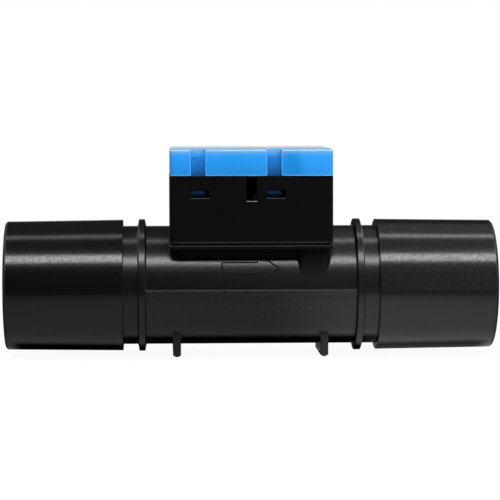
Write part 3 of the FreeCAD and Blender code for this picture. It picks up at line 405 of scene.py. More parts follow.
def chipRecipe(node, pinCorner, leads):    # black package, tinned leads, a moulded dot by the first lead
    low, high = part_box(node)
    middle = (low + high) / 2
    half = (high.y - low.y) / 2
    reach = half - leads    # half the package without its leads

    def recipe(place):
        grain = place.noise(chip["grain"])
        metal = abs(place.part("Y") - middle.y).step(reach + chip["leadFrom"], reach + chip["leadTo"])
        dotX = place.part("X") - (middle.x + pinCorner[0] * chip["dotAlong"] * (high.x - low.x))
        dotY = place.part("Y") - (middle.y + pinCorner[1] * chip["dotAcross"] * min(reach, half))
        far = (dotX * dotX + dotY * dotY).to("SQRT")
        onTop = place.part("Z").step(high.z - chip["dotLow"], high.z - chip["dotHigh"])
        dot = (1 - far.step(chip["dotFrom"], chip["dotTo"])) * onTop
        package = (grain * chip["grainTint"] + dot * chip["dotTint"]).tint(chip["dark"], chip["light"])
        rough = chip["rough"] - metal * chip["leadGloss"] - dot * chip["dotGloss"]
        return {"Base Color": metal.tint(package, chip["lead"]),
                "Roughness": rough + grain.swing(chip["grainRough"]),
                "Metallic": metal,
                "Normal": (grain * chip["grainRelief"] - dot).bump(chip["relief"])}
    return recipe


passive = {"endDark": (0.55, 0.55, 0.54), "endLight": (0.70, 0.70, 0.68), "endFrom": 0.00032,
           "endTo": 0.00028, "grain": 0.00015, "relief": 0.000008, "rough": 0.55, "endGloss": 0.2,
           "grainRough": 0.2}


def passiveRecipe(node, body, bodyLight):    # ceramic body between two tinned ends
    low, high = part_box(node)
    middle = (low.y + high.y) / 2
    reach = (high.y - low.y) / 2

    def recipe(place):
        grain = place.noise(passive["grain"])
        metal = abs(place.part("Y") - middle).step(reach - passive["endFrom"], reach - passive["endTo"])
        tin = grain.tint(passive["endDark"], passive["endLight"])
        rough = passive["rough"] - metal * passive["endGloss"] + grain.swing(passive["grainRough"])
        return {"Base Color": metal.tint(grain.tint(body, bodyLight), tin),
                "Roughness": rough,
                "Metallic": metal,
                "Normal": grain.bump(passive["relief"])}
    return recipe


bareMetal = {"streak": 0.0004, "stain": 0.002, "share": 0.5, "streakRough": 0.25, "relief": 0.000004}


def metalRecipe(dark, light, rough, streak):
    def recipe(place):
        lines = place.stretched(*streak).noise(bareMetal["streak"], 3)
        stain = place.noise(bareMetal["stain"])
        return {"Base Color": (lines * bareMetal["share"] + stain * bareMetal["share"]).tint(dark, light),
                "Roughness": rough + lines.swing(bareMetal["streakRough"]),
                "Normal": lines.bump(bareMetal["relief"])}
    return recipe


laminate = finishOf("laminate", boardRecipe, Coat_Weight=0.25, Coat_Roughness=0.25)
metalKinds = {    # dark and light colour, roughness, stretch of the streaks
    "screenSteel": ((0.42, 0.42, 0.43), (0.62, 0.62, 0.63), 0.30, (1, 1, 1)),
    "screwSteel": ((0.46, 0.46, 0.48), (0.66, 0.66, 0.67), 0.28, (1, 1, 4)),
    "pinTin": ((0.56, 0.52, 0.42), (0.72, 0.69, 0.60), 0.26, (0.2, 1, 1)),
    "solderTin": ((0.55, 0.55, 0.55), (0.74, 0.74, 0.73), 0.24, (1, 1, 1)),
}
metalFinish = {name: finishOf(name, metalRecipe(*values), Metallic=1.0)
               for name, values in metalKinds.items()}
signalPackage = finishOf("signalPackage", chipRecipe("signal_chip", (-1, -1), chip["noLeads"]))
memoryPackage = finishOf("memoryPackage", chipRecipe("memory_chip", (-1, -1), chip["leads"]))
regulatorPackage = finishOf("regulatorPackage", chipRecipe("voltage_regulator", (-1, 1), chip["leads"]))
capacitorCeramic = finishOf(
    "capacitorCeramic", passiveRecipe("capacitors", (0.33, 0.22, 0.12), (0.44, 0.31, 0.18)))
resistorCeramic = finishOf(
    "resistorCeramic", passiveRecipe("resistors", (0.012, 0.012, 0.014), (0.03, 0.03, 0.032)))
print("board finishes made")


# Moulded pieces: a welded copy of the CAD solid, flats joined, its edges eased as a mould leaves them

def settle(piece, body, slot, *replaced):
    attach(piece, body)
    if replaced:
        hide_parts(*replaced)


def newPiece(name, mesh):
    piece = bpy.data.objects.new(name, mesh)
    bpy.context.scene.collection.objects.link(piece)
    return piece


wallSlot, edgeSlot, thirdSlot, fourthSlot = range(4)    # places in a moulding's list of materials
mould = {"weld": 0.000002, "flatAngle": math.radians(0.4), "sharpFrom": math.radians(28), "slack": 0.00003,
         "wideAngle": math.radians(75), "turnedAngle": 0.16, "leastFacing": 0.1, "segments": 2,
         "tube": 0.00007, "deckEdge": 0.00026, "railEdge": 0.00014, "railUnder": 0.00003,
         "railDraft": 0.00026, "railDrop": 0.00024, "railSink": 0.00013, "railDeep": 2 * mm,
         "railLip": 0.5 * mm, "housing": 0.00014, "sill": 0.00006, "lid": 0.00016, "arms": 0.00008,
         "shroud": 0.00010, "block": 0.00008, "ring": 0.00020, "seal": 0.00015, "plug": 0}


def outwardAt(place):
    return Vector((0, place.y, place.z - axis)).normalized()


def turnedNormal(face, place):    # true normal where the face is turned about the tube's axis
    outward = outwardAt(place)
    steep = math.sqrt(max(0, 1 - face.normal.x ** 2))
    return Vector((face.normal.x, 0, 0)) + outward * math.copysign(steep, face.normal.dot(outward))


def isTurned(face):
    facing = face.normal.dot(outwardAt(face.calc_center_median()))
    if abs(facing) < mould["leastFacing"]:
        return False
    start = face.verts[0].co
    for vert in face.verts:
        off = farOf(vert.co) - farOf(start) + (vert.co.x - start.x) * face.normal.x / facing
        lean = turnedNormal(face, vert.co).angle(face.normal, 0)
        if abs(off) > mould["slack"] or lean > mould["turnedAngle"]:
            return False
    return True


def trueNormals(mesh):    # flats stay flat, turned faces are round and eased edges run between them
    work = bmesh.new()
    work.from_mesh(mesh)
    areas = [face.calc_area() for face in work.faces]
    eased = [face.material_index == edgeSlot for face in work.faces]
    turned = [not eased[face.index] and isTurned(face) for face in work.faces]

    def blend(face, vert, ofEased, angle):
        total = Vector()
        for other in vert.link_faces:
            if eased[other.index] == ofEased and other.normal.angle(face.normal, 0) < angle:
                total += other.normal * areas[other.index]
        return total.normalized() if total.length else face.normal

    def mainNormal(face, vert):
        if turned[face.index]:
            return turnedNormal(face, vert.co)
        return blend(face, vert, False, mould["sharpFrom"])

    normals = []
    for face in work.faces:
        for vert in face.verts:
            if not eased[face.index]:
                normals.append(mainNormal(face, vert))
                continue
            near = [other for other in vert.link_faces if not eased[other.index]
                    and other.normal.angle(face.normal, math.tau) < mould["wideAngle"]]
            if near:
                normals.append(mainNormal(min(near, key=lambda other: other.normal.angle(face.normal)), vert))
            else:
                normals.append(blend(face, vert, True, mould["wideAngle"]))
    work.free()
    mesh.normals_split_custom_set(normals)


def moulded(name, node, width, materials, easing=lambda middle: None, slotOf=None, shift=None):
    mesh = nodes[node].data.copy()
    work = bmesh.new()
    work.from_mesh(mesh)
    bmesh.ops.remove_doubles(work, verts=work.verts, dist=mould["weld"])
    bmesh.ops.dissolve_limit(work, angle_limit=mould["flatAngle"], verts=work.verts, edges=work.edges)
    if shift:
        for vert in work.verts:
            vert.co += shift(vert.co)
    share = work.edges.layers.float.new("bevel_weight_edge")
    widest = max(width, mould["deckEdge"])
    for face in work.faces:
        face.smooth = True
        face.material_index = wallSlot
    for edge in work.edges:
        if len(edge.link_faces) == 2 and edge.calc_face_angle() > mould["sharpFrom"]:
            own = easing((edge.verts[0].co + edge.verts[1].co) / 2)    # an edge's own width
            edge[share] = (width if own is None else own) / widest
    work.to_mesh(mesh)
    work.free()
    mesh.materials.clear()
    for material in materials:
        mesh.materials.append(material)
    sharp = newPiece(name + "Sharp", mesh)
    bevel = sharp.modifiers.new("eased", "BEVEL")
    bevel.width = widest
    bevel.segments = mould["segments"]
    bevel.limit_method = "WEIGHT"
    bevel.use_clamp_overlap = False
    bevel.material = edgeSlot
    finished = bpy.data.meshes.new_from_object(sharp.evaluated_get(bpy.context.evaluated_depsgraph_get()))
    finished.name = name
    bpy.data.objects.remove(sharp)
    trueNormals(finished)
    if slotOf:
        for face in finished.polygons:
            face.material_index = slotOf(face.center, face.normal, face.material_index)
    return newPiece(name, finished)


def tubeEasing(middle):    # the deck's upper edge and the rails' edges are rounder than the rest
    along, across, height = abs(middle.x), abs(middle.y), middle.z - axis
    if abs(middle.z - deckTop) < hair and across > railFace:
        return mould["deckEdge"]
    atFace = railFace - mould["railLip"] < across < railFace + hair
    if atFace and -mould["railDeep"] < height < -measure["railRise"]:
        return mould["railEdge"] if height > -mould["railLip"] else mould["railUnder"]
    if abs(height) < hair and across < railFace - measure["railRise"] / 2:    # where a rail leaves the tube
        return 0
    onSaddle = along < deckEnd and neck / 2 < height and middle.z < deckTop - hair
    return 0 if onSaddle or along > coneStart + mm else None


def railShift(place):    # the rails' tops fall outwards and their faces lean in towards their lower edges
    height = place.z - axis
    if abs(abs(place.y) - railFace) > hair or not -mould["railDeep"] < height < hair:
        return Vector()
    if height > -mould["railLip"]:
        return Vector((0, 0, -mould["railDrop"]))
    return Vector((0, -math.copysign(mould["railDraft"], place.y), -mould["railSink"]))


matt = {"proud": 0.1 * mm, "mouth": 0.5 * mm, "railNear": 0.3 * mm, "lineNear": 0.5 * mm, "flank": 0.4,
        "level": 0.5, "footSide": 0.7}


def tubeSlot(middle, normal, slot):    # saddle, deck, the feet's sides and faces across the tube are matt, in the saddle finish with its painted shade
    along, far, height = abs(middle.x), farOf(middle), middle.z - axis
    proud = far > neck + matt["proud"]
    atMouth = along > tubeEnd - matt["mouth"]
    atStep = far > neck and abs(along - coneStart) < matt["proud"]
    ringFlank = deckEnd + mm < along < coneStart - mm and proud and abs(normal.x) > matt["flank"]
    railTop = slot == wallSlot and normal.z > matt["level"] and abs(height) < matt["railNear"]
    if atMouth or atStep or ringFlank or railTop and far > neck - matt["proud"]:
        return thirdSlot
    if not proud or along >= deckEnd:
        return slot
    if height > 0:
        return fourthSlot if slot == edgeSlot and abs(middle.z - deckTop) < matt["lineNear"] else thirdSlot
    return thirdSlot if height < -neck / 2 and abs(normal.x) > matt["footSide"] else slot


# faces that take painted highlight (sills, lower edges) or painted shade (the lid's top)
paintedLightPicks = {"sillUp": 0.3, "edgeHigh": 0.7 * mm, "hemDown": -0.2, "hemHigh": 0.4 * mm, "topUp": 0.8}


def housingSlot(middle, normal, slot):    # painted highlight on sills and on the lower edge, all other edges as the walls
    if slot == edgeSlot and normal.z > paintedLightPicks["sillUp"] and middle.z < rim - mm:
        return thirdSlot
    return slot if middle.z < deckTop + paintedLightPicks["edgeHigh"] else wallSlot


def housingEasing(middle):    # sills and window edges are crisp
    if windowSill - mm < middle.z < rim - mm and abs(middle.y) > housingHigh.y - hair:
        return mould["sill"]


def lidSlot(middle, normal, slot):    # smoother top in painted shade, painted highlight on the lower edge
    if slot == edgeSlot and normal.z < paintedLightPicks["hemDown"] and middle.z < rim + paintedLightPicks["hemHigh"]:
        return fourthSlot
    return thirdSlot if normal.z > paintedLightPicks["topUp"] and middle.z > plateUnder + mm else slot


def lidEasing(middle):    # lid and arms are one moulding, so the joint between them stays flush
    if abs(middle.z - plateUnder) < hair:
        return 0


tubeFinishes = (tubePlastic, tubePlastic, saddlePlastic, deckLine)
housingFinishes = (housingPlastic, housingEdge, housingSill)
lidFinishes = (lidPlastic, lidEdge, lidTop, lidHem)
settle(moulded("tubeMoulding", "flow_tube", mould["tube"], tubeFinishes, tubeEasing, tubeSlot, railShift),
       "sensor", "tube_plastic", "flow_tube")
settle(moulded("housingMoulding", "sensor_housing", mould["housing"], housingFinishes, housingEasing,
               housingSlot), "sensor", "housing_plastic", "sensor_housing")
settle(moulded("lidMoulding", "cap", mould["lid"], lidFinishes, lidEasing, lidSlot),
       "lid", "cap_plastic", "cap")
settle(moulded("lidArms", "cap_snap_arms", mould["arms"], (armPlastic, armPlastic), lidEasing),
       "lid", "cap_plastic", "cap_snap_arms")
plainPieces = (    # piece, node, eased edge, finish, slot
    ("plugShroud", "connector_shroud", "shroud", "nylon", "shroud_plastic"),
    ("bypassMoulding", "bypass_block", "block", "blockPlastic", "block_plastic"),
    ("inletRing", "inlet_mesh_ring", "ring", "ringPlastic", "ring_plastic"),
    ("outletRing", "outlet_mesh_ring", "ring", "ringPlastic", "ring_plastic"),
    ("laminarPlug", "flow_restrictor", "plug", "restrictorPlastic", "restrictor_plastic"),
    ("tapRings", "tap_seals", "seal", "sealRubber", "seal_rubber"))
for name, node, width, finish, slot in plainPieces:
    settle(moulded(name, node, mould[width], (plainFinish[finish],) * 2), "sensor", slot, node)
print("moulded pieces made")

bareNodes = {
    "channel_gasket": plainFinish["sealRubber"], "circuit_board": laminate, "signal_chip": signalPackage,
    "flow_chip": plainFinish["sensorCeramic"], "memory_chip": memoryPackage, "resistors": resistorCeramic,
    "voltage_regulator": regulatorPackage, "capacitors": capacitorCeramic,
    "connector_pins": metalFinish["pinTin"]}
for node, material in bareNodes.items():
    nodes[node].data.materials.clear()
    nodes[node].data.materials.append(material)
print("board parts finished")


# Geometry Nodes

def newTree(name, **inputs):    # a tree with one geometry output and named number inputs
    tree = bpy.data.node_groups.new(name, "GeometryNodeTree")
    tree.interface.new_socket("Geometry", in_out="OUTPUT", socket_type="NodeSocketGeometry")
    tree.interface.new_socket("Geometry", in_out="INPUT", socket_type="NodeSocketGeometry")
    for label, value in inputs.items():
        kind = "NodeSocketInt" if isinstance(value, int) else "NodeSocketFloat"
        tree.interface.new_socket(label, in_out="INPUT", socket_type=kind)
    entry = tree.nodes.new("NodeGroupInput")
    return tree, {socket.name: Wire(tree, socket) for socket in entry.outputs if socket.name}


def endTree(shape, material):    # every tree ends in plain geometry with its material
    whole = shape.geo("RealizeInstances", {"Geometry": shape})
    dressed = whole.geo("SetMaterial", {"Geometry": whole, "Material": material})
    leave = shape.tree.nodes.new("NodeGroupOutput")
    shape.tree.links.new(dressed.socket, leave.inputs[0])


def grown(name, tree, values, start=None):    # runs the tree once and keeps a plain mesh
    seed = newPiece(name + "Seed", start or bpy.data.meshes.new(name + "Seed"))
    modifier = seed.modifiers.new("grow", "NODES")
    modifier.node_group = tree
    for item in tree.interface.items_tree:
        if item.in_out == "INPUT" and item.name in values:
            modifier[item.identifier] = values[item.name]
    mesh = bpy.data.meshes.new_from_object(seed.evaluated_get(bpy.context.evaluated_depsgraph_get()))
    mesh.name = name
    seed.modifiers.remove(modifier)
    bpy.data.objects.remove(seed)
    return newPiece(name, mesh)


# Flow arrow: a raised outline that follows the front of the tube

arrow = {"line": 0.00012, "sides": 8, "step": 0.0003, "middle": 0.00357, "tail": -0.00495, "neck": 0.00106,
         "tip": 0.00473, "tailHalf": 0.00100, "headHalf": 0.0024}


def arrowTree():
    tree, given = newTree("arrowOnTube", Radius=1.0, AxisHeight=1.0, Line=1.0)
    curve = given["Geometry"].geo("MeshToCurve", {"Mesh": given["Geometry"]})
    fine = curve.geo("ResampleCurve", {"Curve": curve, "Length": arrow["step"]}, mode="LENGTH")
    where = curve.geo("InputPosition", {})
    angle = where.part("Z") / given["Radius"]
    wrapped = where.vector(X=where.part("X"), Y=-(given["Radius"] * angle.to("COSINE")),
                           Z=given["AxisHeight"] + given["Radius"] * angle.to("SINE"))
    onTube = fine.geo("SetPosition", {"Geometry": fine, "Position": wrapped})
    ring = curve.geo("CurvePrimitiveCircle", {"Resolution": arrow["sides"], "Radius": given["Line"]})
    ridge = onTube.geo("CurveToMesh", {"Curve": onTube, "Profile Curve": ring, "Fill Caps": True})
    # the ridge takes the saddle finish, with its painted shade by height
    endTree(ridge, saddlePlastic)
    return tree


upper = [(arrow["tail"], arrow["tailHalf"]), (arrow["neck"], arrow["tailHalf"]),
         (arrow["neck"], arrow["headHalf"])]
corners = upper + [(arrow["tip"], 0)] + [(x, -up) for x, up in reversed(upper)]
arrowFlat = bpy.data.meshes.new("arrowFlat")
arrowFlat.from_pydata([(x, 0, arrow["middle"] + up) for x, up in corners],
                      [(place, (place + 1) % len(corners)) for place in range(len(corners))], [])
arrowValues = {"Radius": neck, "AxisHeight": axis, "Line": arrow["line"]}
settle(grown("flowArrow", arrowTree(), arrowValues, arrowFlat), "sensor", "tube_plastic")
print("flow arrow made")


# Woven screens inside the two ends

weave = {"pitch": 0.0008, "wire": 0.00011, "radius": 0.0073, "rows": 19, "sides": 6, "cuts": 4}


def screenTree():
    tree, given = newTree("wovenScreen", Pitch=1.0, Wire=1.0, Radius=1.0, Rows=1, Place=1.0, AxisHeight=1.0)
    start = given["Geometry"]
    span = (given["Rows"] - 1) * given["Pitch"] / 2
    reach = span + given["Pitch"]
    points = (given["Rows"] + 1) * weave["cuts"] + 1
    where = start.geo("InputPosition", {})
    ring = start.geo("CurvePrimitiveCircle", {"Resolution": weave["sides"], "Radius": given["Wire"]})
    sets = []
    for turn in (0, 1):
        ends = [start.vector(Y=sign * reach) for sign in (-1, 1)]
        line = start.geo("CurvePrimitiveLine", {"Start": ends[0], "End": ends[1]})
        wire = line.geo("ResampleCurve", {"Curve": line, "Count": points})
        first = start.vector(Z=-span)
        offset = start.vector(Z=given["Pitch"])
        row = start.geo("MeshLine", {"Count": given["Rows"], "Start Location": first, "Offset": offset})
        rows = row.geo("InstanceOnPoints", {"Points": row, "Instance": wire})
        wires = rows.geo("RealizeInstances", {"Geometry": rows})
        along = where.part("Y") / given["Pitch"]
        number = where.part("Z") / given["Pitch"]
        wave = (along + number.to("ROUND") + turn) * math.pi
        lift = wave.to("COSINE") * given["Wire"]
        sideways, upward = ("Z", "Y") if turn else ("Y", "Z")
        bent = where.vector(X=lift, Y=where.part(sideways), Z=where.part(upward))
        woven = wires.geo("SetPosition", {"Geometry": wires, "Position": bent})
        far = where.part("Y") * where.part("Y") + where.part("Z") * where.part("Z")
        outside = far.to("GREATER_THAN", given["Radius"] * given["Radius"])
        trimmed = woven.geo("DeleteGeometry", {"Geometry": woven, "Selection": outside})
        sets.append(trimmed.geo("CurveToMesh", {"Curve": trimmed, "Profile Curve": ring, "Fill Caps": True}))
    both = tree.nodes.new("GeometryNodeJoinGeometry")
    for mesh in sets:
        tree.links.new(mesh.socket, both.inputs[0])
    shift = start.vector(X=given["Place"], Z=given["AxisHeight"])
    joined = Wire(tree, both.outputs[0])
    placed = joined.geo("Transform", {"Geometry": joined, "Translation": shift})
    endTree(placed, metalFinish["screenSteel"])
    return tree


wovenTree = screenTree()
for node, name in (("inlet_mesh", "inletScreen"), ("outlet_mesh", "outletScreen")):
    low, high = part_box(node)
    middle = (low + high) / 2
    values = {"Pitch": weave["pitch"], "Wire": weave["wire"], "Radius": weave["radius"],
              "Rows": weave["rows"], "Place": middle.x, "AxisHeight": middle.z}
    screen = grown(name, wovenTree, values)
    settle(screen, "sensor", "screen_steel", node)
    print(name, "woven:", len(screen.data.polygons), "faces")


# Board screws: pan heads with a cross recess

screw = {"sides": 28, "headRadius": 0.0017, "shankRadius": 0.0009, "dome": 0.00045,
         "profile": ((1, 1), (0.93, 0.45), (0.80, 0.12), (0.62, 0)),    # shares of radius and dome
         "recessReach": 0.00085, "recessHalf": 0.0002, "recessDepth": 0.0006, "recessTaper": 0.8,
         "sharpFrom": math.radians(35), "mostTurn": 1.5, "seed": 7}


def screwMesh(low, high, headFrom):
    work = bmesh.new()
    sides, head = screw["sides"], screw["headRadius"]
    rings = [(screw["shankRadius"], low), (screw["shankRadius"], headFrom), (head, headFrom)]
    rings += [(head * share, high - screw["dome"] * drop) for share, drop in screw["profile"]]
    turns = [math.tau * step / sides for step in range(sides)]
    loops = [[work.verts.new((radius * math.cos(turn), radius * math.sin(turn), height)) for turn in turns]
             for radius, height in rings]
    work.faces.new(reversed(loops[0]))

    def wall(lower, upper):
        for step in range(len(lower)):
            after = (step + 1) % len(lower)
            work.faces.new((lower[step], lower[after], upper[after], upper[step]))

    for lower, upper in zip(loops, loops[1:]):
        wall(lower, upper)
    half, reach, taper = screw["recessHalf"], screw["recessReach"], screw["recessTaper"]
    plan = [(reach, -half), (reach, half), (half, half)]    # one arm of the cross, turned three times
    for turn in range(3):
        plan += [(-y, x) for x, y in plan[-3:]]
    mouth = [work.verts.new((x, y, high)) for x, y in plan]
    floor = [work.verts.new((x * taper, y * taper, high - screw["recessDepth"])) for x, y in plan]
    wall(mouth, floor)
    work.faces.new(floor)
    edges = [edge for edge in work.edges if edge.is_boundary]
    bmesh.ops.triangle_fill(work, edges=edges, use_beauty=True)
    bmesh.ops.recalc_face_normals(work, faces=work.faces)
    for face in work.faces:
        face.smooth = True
    mesh = bpy.data.meshes.new("screwShape")
    work.to_mesh(mesh)
    work.free()
    mesh.set_sharp_from_angle(angle=screw["sharpFrom"])
    return mesh


def screwTree():
    tree, given = newTree("screwCorners", Along=1.0, Across=1.0)
    start = given["Geometry"]
    grid = {"Size X": given["Along"], "Size Y": given["Across"], "Vertices X": 2, "Vertices Y": 2}
    corner = start.geo("MeshGrid", grid)
    limits = {0: (0, 0, 0), 1: (0, 0, screw["mostTurn"]), "Seed": screw["seed"]}
    turn = start.node("FunctionNodeRandomValue", limits, data_type="FLOAT_VECTOR")
    four = corner.geo("InstanceOnPoints", {"Points": corner, "Instance": start, "Rotation": turn})
    endTree(four, metalFinish["screwSteel"])
    return tree


low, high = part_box("board_screws")
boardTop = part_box("circuit_board")[1].z
inset = 2 * screw["headRadius"]
screwValues = {"Along": high.x - low.x - inset, "Across": high.y - low.y - inset}
screws = grown("panScrews", screwTree(), screwValues, screwMesh(low.z, high.z, boardTop))
settle(screws, "sensor", "screw_steel", "board_screws")
print("screws made")


# Solder at the ends of the small parts

solder = {"side": 0.0009, "height": 0.00022, "seed": 3, "segments": 12, "rings": 6, "least": 0.88,
          "most": 1.08, "parts": 5, "partWidth": 0.8 * mm}


def solderTree():
    tree, given = newTree("solderPads", Side=1.0, Height=1.0, Seed=1)
    start = given["Geometry"]
    size = start.vector(X=given["Side"], Y=given["Side"], Z=given["Height"])
    ball = {"Segments": solder["segments"], "Rings": solder["rings"], "Radius": 0.5}
    blob = start.geo("MeshUVSphere", ball)
    limits = {2: solder["least"], 3: solder["most"], "Seed": given["Seed"]}
    ease = start.node("FunctionNodeRandomValue", limits, 1, data_type="FLOAT")
    scale = start.node("ShaderNodeVectorMath", {0: size, "Scale": ease}, operation="SCALE")
    drops = start.geo("InstanceOnPoints", {"Points": start, "Instance": blob, "Scale": scale})
    endTree(drops, metalFinish["solderTin"])
    return tree


def endsOf(node):    # where the small parts of a row end
    low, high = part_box(node)
    count, width = solder["parts"], solder["partWidth"]
    pitch = (high.x - low.x - width) / (count - 1)
    return [(low.x + width / 2 + place * pitch, side, low.z)
            for place in range(count) for side in (low.y, high.y)]


padMesh = bpy.data.meshes.new("solderSpots")
padMesh.from_pydata(endsOf("capacitors") + endsOf("resistors"), [], [])
solderValues = {"Side": solder["side"], "Height": solder["height"], "Seed": solder["seed"]}
settle(grown("solderJoints", solderTree(), solderValues, padMesh), "sensor", "pin_metal")
print("solder made")


# Studio: the floor

ground = {"long": 0.13, "wide": 0.085, "sides": 72, "white": 0.60, "speck": 0.004, "speckTint": 0.02,
          "shadowKept": 0.06, "shadowFrom": 0.3, "shadowTo": 0.9, "leftGlow": 0.47, "rightGlow": 1.0,
          "splitFrom": 0.02, "splitTo": 0.15, "fadeFrom": 0.30, "behindFrom": 0.002, "behindTo": 0.008,
          "behindDark": 0.85, "near": 0.78, "nearFrom": 0.005, "nearTo": 0.016, "underFrom": 0.0033,
          "underTo": 0.0062, "paleFrom": 0.14, "paleTo": 0.18, "pale": 0.1, "endFrom": 0.3, "endTo": 0.34}
black = (0, 0, 0)


def grey(value):
    return (value,) * 3


def floorMaterial():
    material = bpy.data.materials.new("paleFloor")
    material.use_nodes = True
    tree = material.node_tree
    tree.nodes.clear()
    place = Wire(tree, tree.nodes.new("ShaderNodeTexCoord").outputs["Object"])
    path = tree.nodes.new("ShaderNodeLightPath")
    camera, glossy, through = [Wire(tree, path.outputs["Is %s Ray" % kind])
                               for kind in ("Camera", "Glossy", "Transmission")]
    seen = camera.to("MAXIMUM", glossy.to("MAXIMUM", through))
    x, y = place.part("X") / ground["long"], place.part("Y") / ground["wide"]
    far = (x * x + y * y).to("SQRT")    # 1 at the rim of the floor
    speck = place.noise(ground["speck"])
    colour = speck.tint(grey(ground["white"]), grey(ground["white"] + ground["speckTint"]))
    paint = place.node("ShaderNodeBsdfDiffuse", {"Color": colour})
    # for reflected rays the floor glows: a painted reflection, brighter to the right, with painted shade
    # behind, near and under the tube
    paintedReflection = x.step(ground["splitFrom"], ground["splitTo"])
    paintedReflection = paintedReflection.tint(grey(ground["leftGlow"]), grey(ground["rightGlow"]))    # painted reflection, brighter to the right, as mirrored in the tube
    paintedReflection = far.step(ground["fadeFrom"], 1.0).tint(paintedReflection, black)
    shadeBehind = place.part("Y").step(ground["behindFrom"], ground["behindTo"])
    paintedReflection = (shadeBehind * ground["behindDark"]).tint(paintedReflection, black)
    depth = abs(place.part("Y"))
    near = (1 - depth.step(ground["nearFrom"], ground["nearTo"])) * (1 - ground["near"])
    shadowUnder = 1 - depth.step(ground["underFrom"], ground["underTo"])    # painted shadow under the tube, as seen in reflections
    shadowUnder = shadowUnder * (1 - x.step(ground["paleFrom"], ground["paleTo"]) * ground["pale"])
    shadowUnder = shadowUnder * (1 - abs(x).step(ground["endFrom"], ground["endTo"]))
    paintedReflection = near.to("MAXIMUM", shadowUnder).tint(paintedReflection, black)
    light = place.node("ShaderNodeEmission", {"Color": glossy.tint((1, 1, 1), paintedReflection), "Strength": 1.0})
    shadow = (1 - far.step(ground["shadowFrom"], ground["shadowTo"])) * (1 - glossy) * ground["shadowKept"]
    both = place.node("ShaderNodeMixShader", {0: seen * (1 - shadow), 1: paint, 2: light})
    out = tree.nodes.new("ShaderNodeOutputMaterial")
    tree.links.new(both.socket, out.inputs["Surface"])
    return material


def floorMesh():
    mesh = bpy.data.meshes.new("floor")
    work = bmesh.new()
    bmesh.ops.create_circle(work, cap_ends=True, segments=ground["sides"], radius=1)
    bmesh.ops.scale(work, vec=(ground["long"], ground["wide"], 1), verts=work.verts)
    work.to_mesh(mesh)
    work.free()
    mesh.materials.append(floorMaterial())
    return mesh


newPiece("floor", floorMesh())
print("floor laid")


# Studio: the room, white to the camera and dim to the tube

room = {"left": 0.04, "right": 0.5, "sideFrom": 0.05, "sideTo": 0.12, "back": 0.035, "backFrom": -0.3,
        "backTo": 0.4, "topLeft": 0.08, "topRight": 0.5, "topSideFrom": 0.03, "topSideTo": 0.10,
        "topFrom": 0.5, "topTo": 1.0, "strip": 0.66, "stripLow": 0.005, "stripHigh": 0.17, "stripSoft": 0.012,
        "stripFrom": 0.1, "stripTo": 0.5}
world = bpy.data.worlds.new("studioWorld")
bpy.context.scene.world = world
world.use_nodes = True
worldTree = world.node_tree
worldTree.nodes.clear()
direction = Wire(worldTree, worldTree.nodes.new("ShaderNodeTexCoord").outputs["Generated"])
rightward, backward, upward = [direction.part(letter) for letter in "XYZ"]
shade = rightward.step(room["sideFrom"], room["sideTo"]).tint(grey(room["left"]), grey(room["right"]))
shade = backward.step(room["backFrom"], room["backTo"]).tint(shade, grey(room["back"]))
overhead = rightward.step(room["topSideFrom"], room["topSideTo"])
overhead = overhead.tint(grey(room["topLeft"]), grey(room["topRight"]))
shade = upward.step(room["topFrom"], room["topTo"]).tint(shade, overhead)
strip = backward.step(room["stripFrom"], room["stripTo"])    # a pale strip far behind
strip = strip * upward.between(room["stripLow"], room["stripHigh"], room["stripSoft"])
shade = strip.tint(shade, grey(room["strip"]))
dim = direction.node("ShaderNodeBackground", {"Color": shade, "Strength": 1.0})
white = direction.node("ShaderNodeBackground", {"Color": (1, 1, 1, 1), "Strength": 1.0})
cameraRay = Wire(worldTree, worldTree.nodes.new("ShaderNodeLightPath").outputs["Is Camera Ray"])
sky = direction.node("ShaderNodeMixShader", {0: cameraRay, 1: dim, 2: white})
worldOut = worldTree.nodes.new("ShaderNodeOutputWorld")
worldTree.links.new(sky.socket, worldOut.inputs["Surface"])
print("room lit")


# Studio: lamps and camera

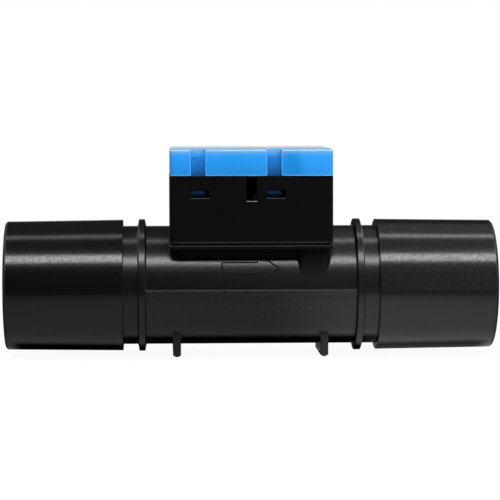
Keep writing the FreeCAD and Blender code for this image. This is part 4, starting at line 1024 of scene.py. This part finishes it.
lampsAt = {"distance": 0.60, "aim": 0.015}
lamps = {    # degrees to the right of the front and up, shift along X, width, depth, brightness
    "frontStrip": (0, 51.3, 0, 0.44, 0.14, 10.4),
    "overheadLeft": (180, 81, -0.12, 0.24, 0.09, 1.8),
    "overheadRight": (180, 82, 0.12, 0.24, 0.08, 4.2),
    "leftPanel": (-60, 46, 0, 0.35, 0.35, 7.0),
    "rightPanel": (60, 46, 0, 0.35, 0.35, 7.6),
    "backLeft": (-125, 38, 0, 0.35, 0.35, 4.5),
    "backRight": (125, 38, 0, 0.35, 0.35, 4.5),
}
for name, (azimuth, height, shift, width, depth, bright) in lamps.items():
    lamp = bpy.data.lights.new(name, "AREA")
    lamp.shape = "RECTANGLE"
    lamp.size = width
    lamp.size_y = depth
    lamp.energy = bright * math.pi * width * depth
    holder = newPiece(name, lamp)
    holder.visible_camera = False
    across, up = math.radians(azimuth), math.radians(height)
    outward = Vector((math.sin(across) * math.cos(up), -math.cos(across) * math.cos(up), math.sin(up)))
    holder.location = Vector((shift, 0, lampsAt["aim"])) + outward * lampsAt["distance"]
    holder.rotation_euler = outward.to_track_quat("Z", "Y").to_euler()

view = {"place": (-0.01533, -0.3771, 0.03065), "yaw": 0.0410, "pitch": 0.0654, "roll": -0.0017,
        "focal": 2192.2, "frame": 500, "sensor": 36, "nearest": 0.01}    # focal and frame in pixels
camera = bpy.data.cameras.new("camera")
camera.sensor_width = view["sensor"]
camera.lens = view["focal"] * camera.sensor_width / view["frame"]
camera.clip_start = view["nearest"]
eye = newPiece("camera", camera)
yaw, pitch, roll = view["yaw"], view["pitch"], view["roll"]
forward = Vector((math.sin(yaw) * math.cos(pitch), math.cos(yaw) * math.cos(pitch), -math.sin(pitch)))
flat = Vector((math.cos(yaw), -math.sin(yaw), 0))
right = flat * math.cos(roll) + flat.cross(forward) * math.sin(roll)
up = right.cross(forward)
eye.matrix_world = Matrix((
    (right.x, up.x, -forward.x, view["place"][0]),
    (right.y, up.y, -forward.y, view["place"][1]),
    (right.z, up.z, -forward.z, view["place"][2] + axis),
    (0, 0, 0, 1)))
bpy.context.scene.camera = eye
bpy.context.scene.view_settings.view_transform = "Standard"
print("studio set")
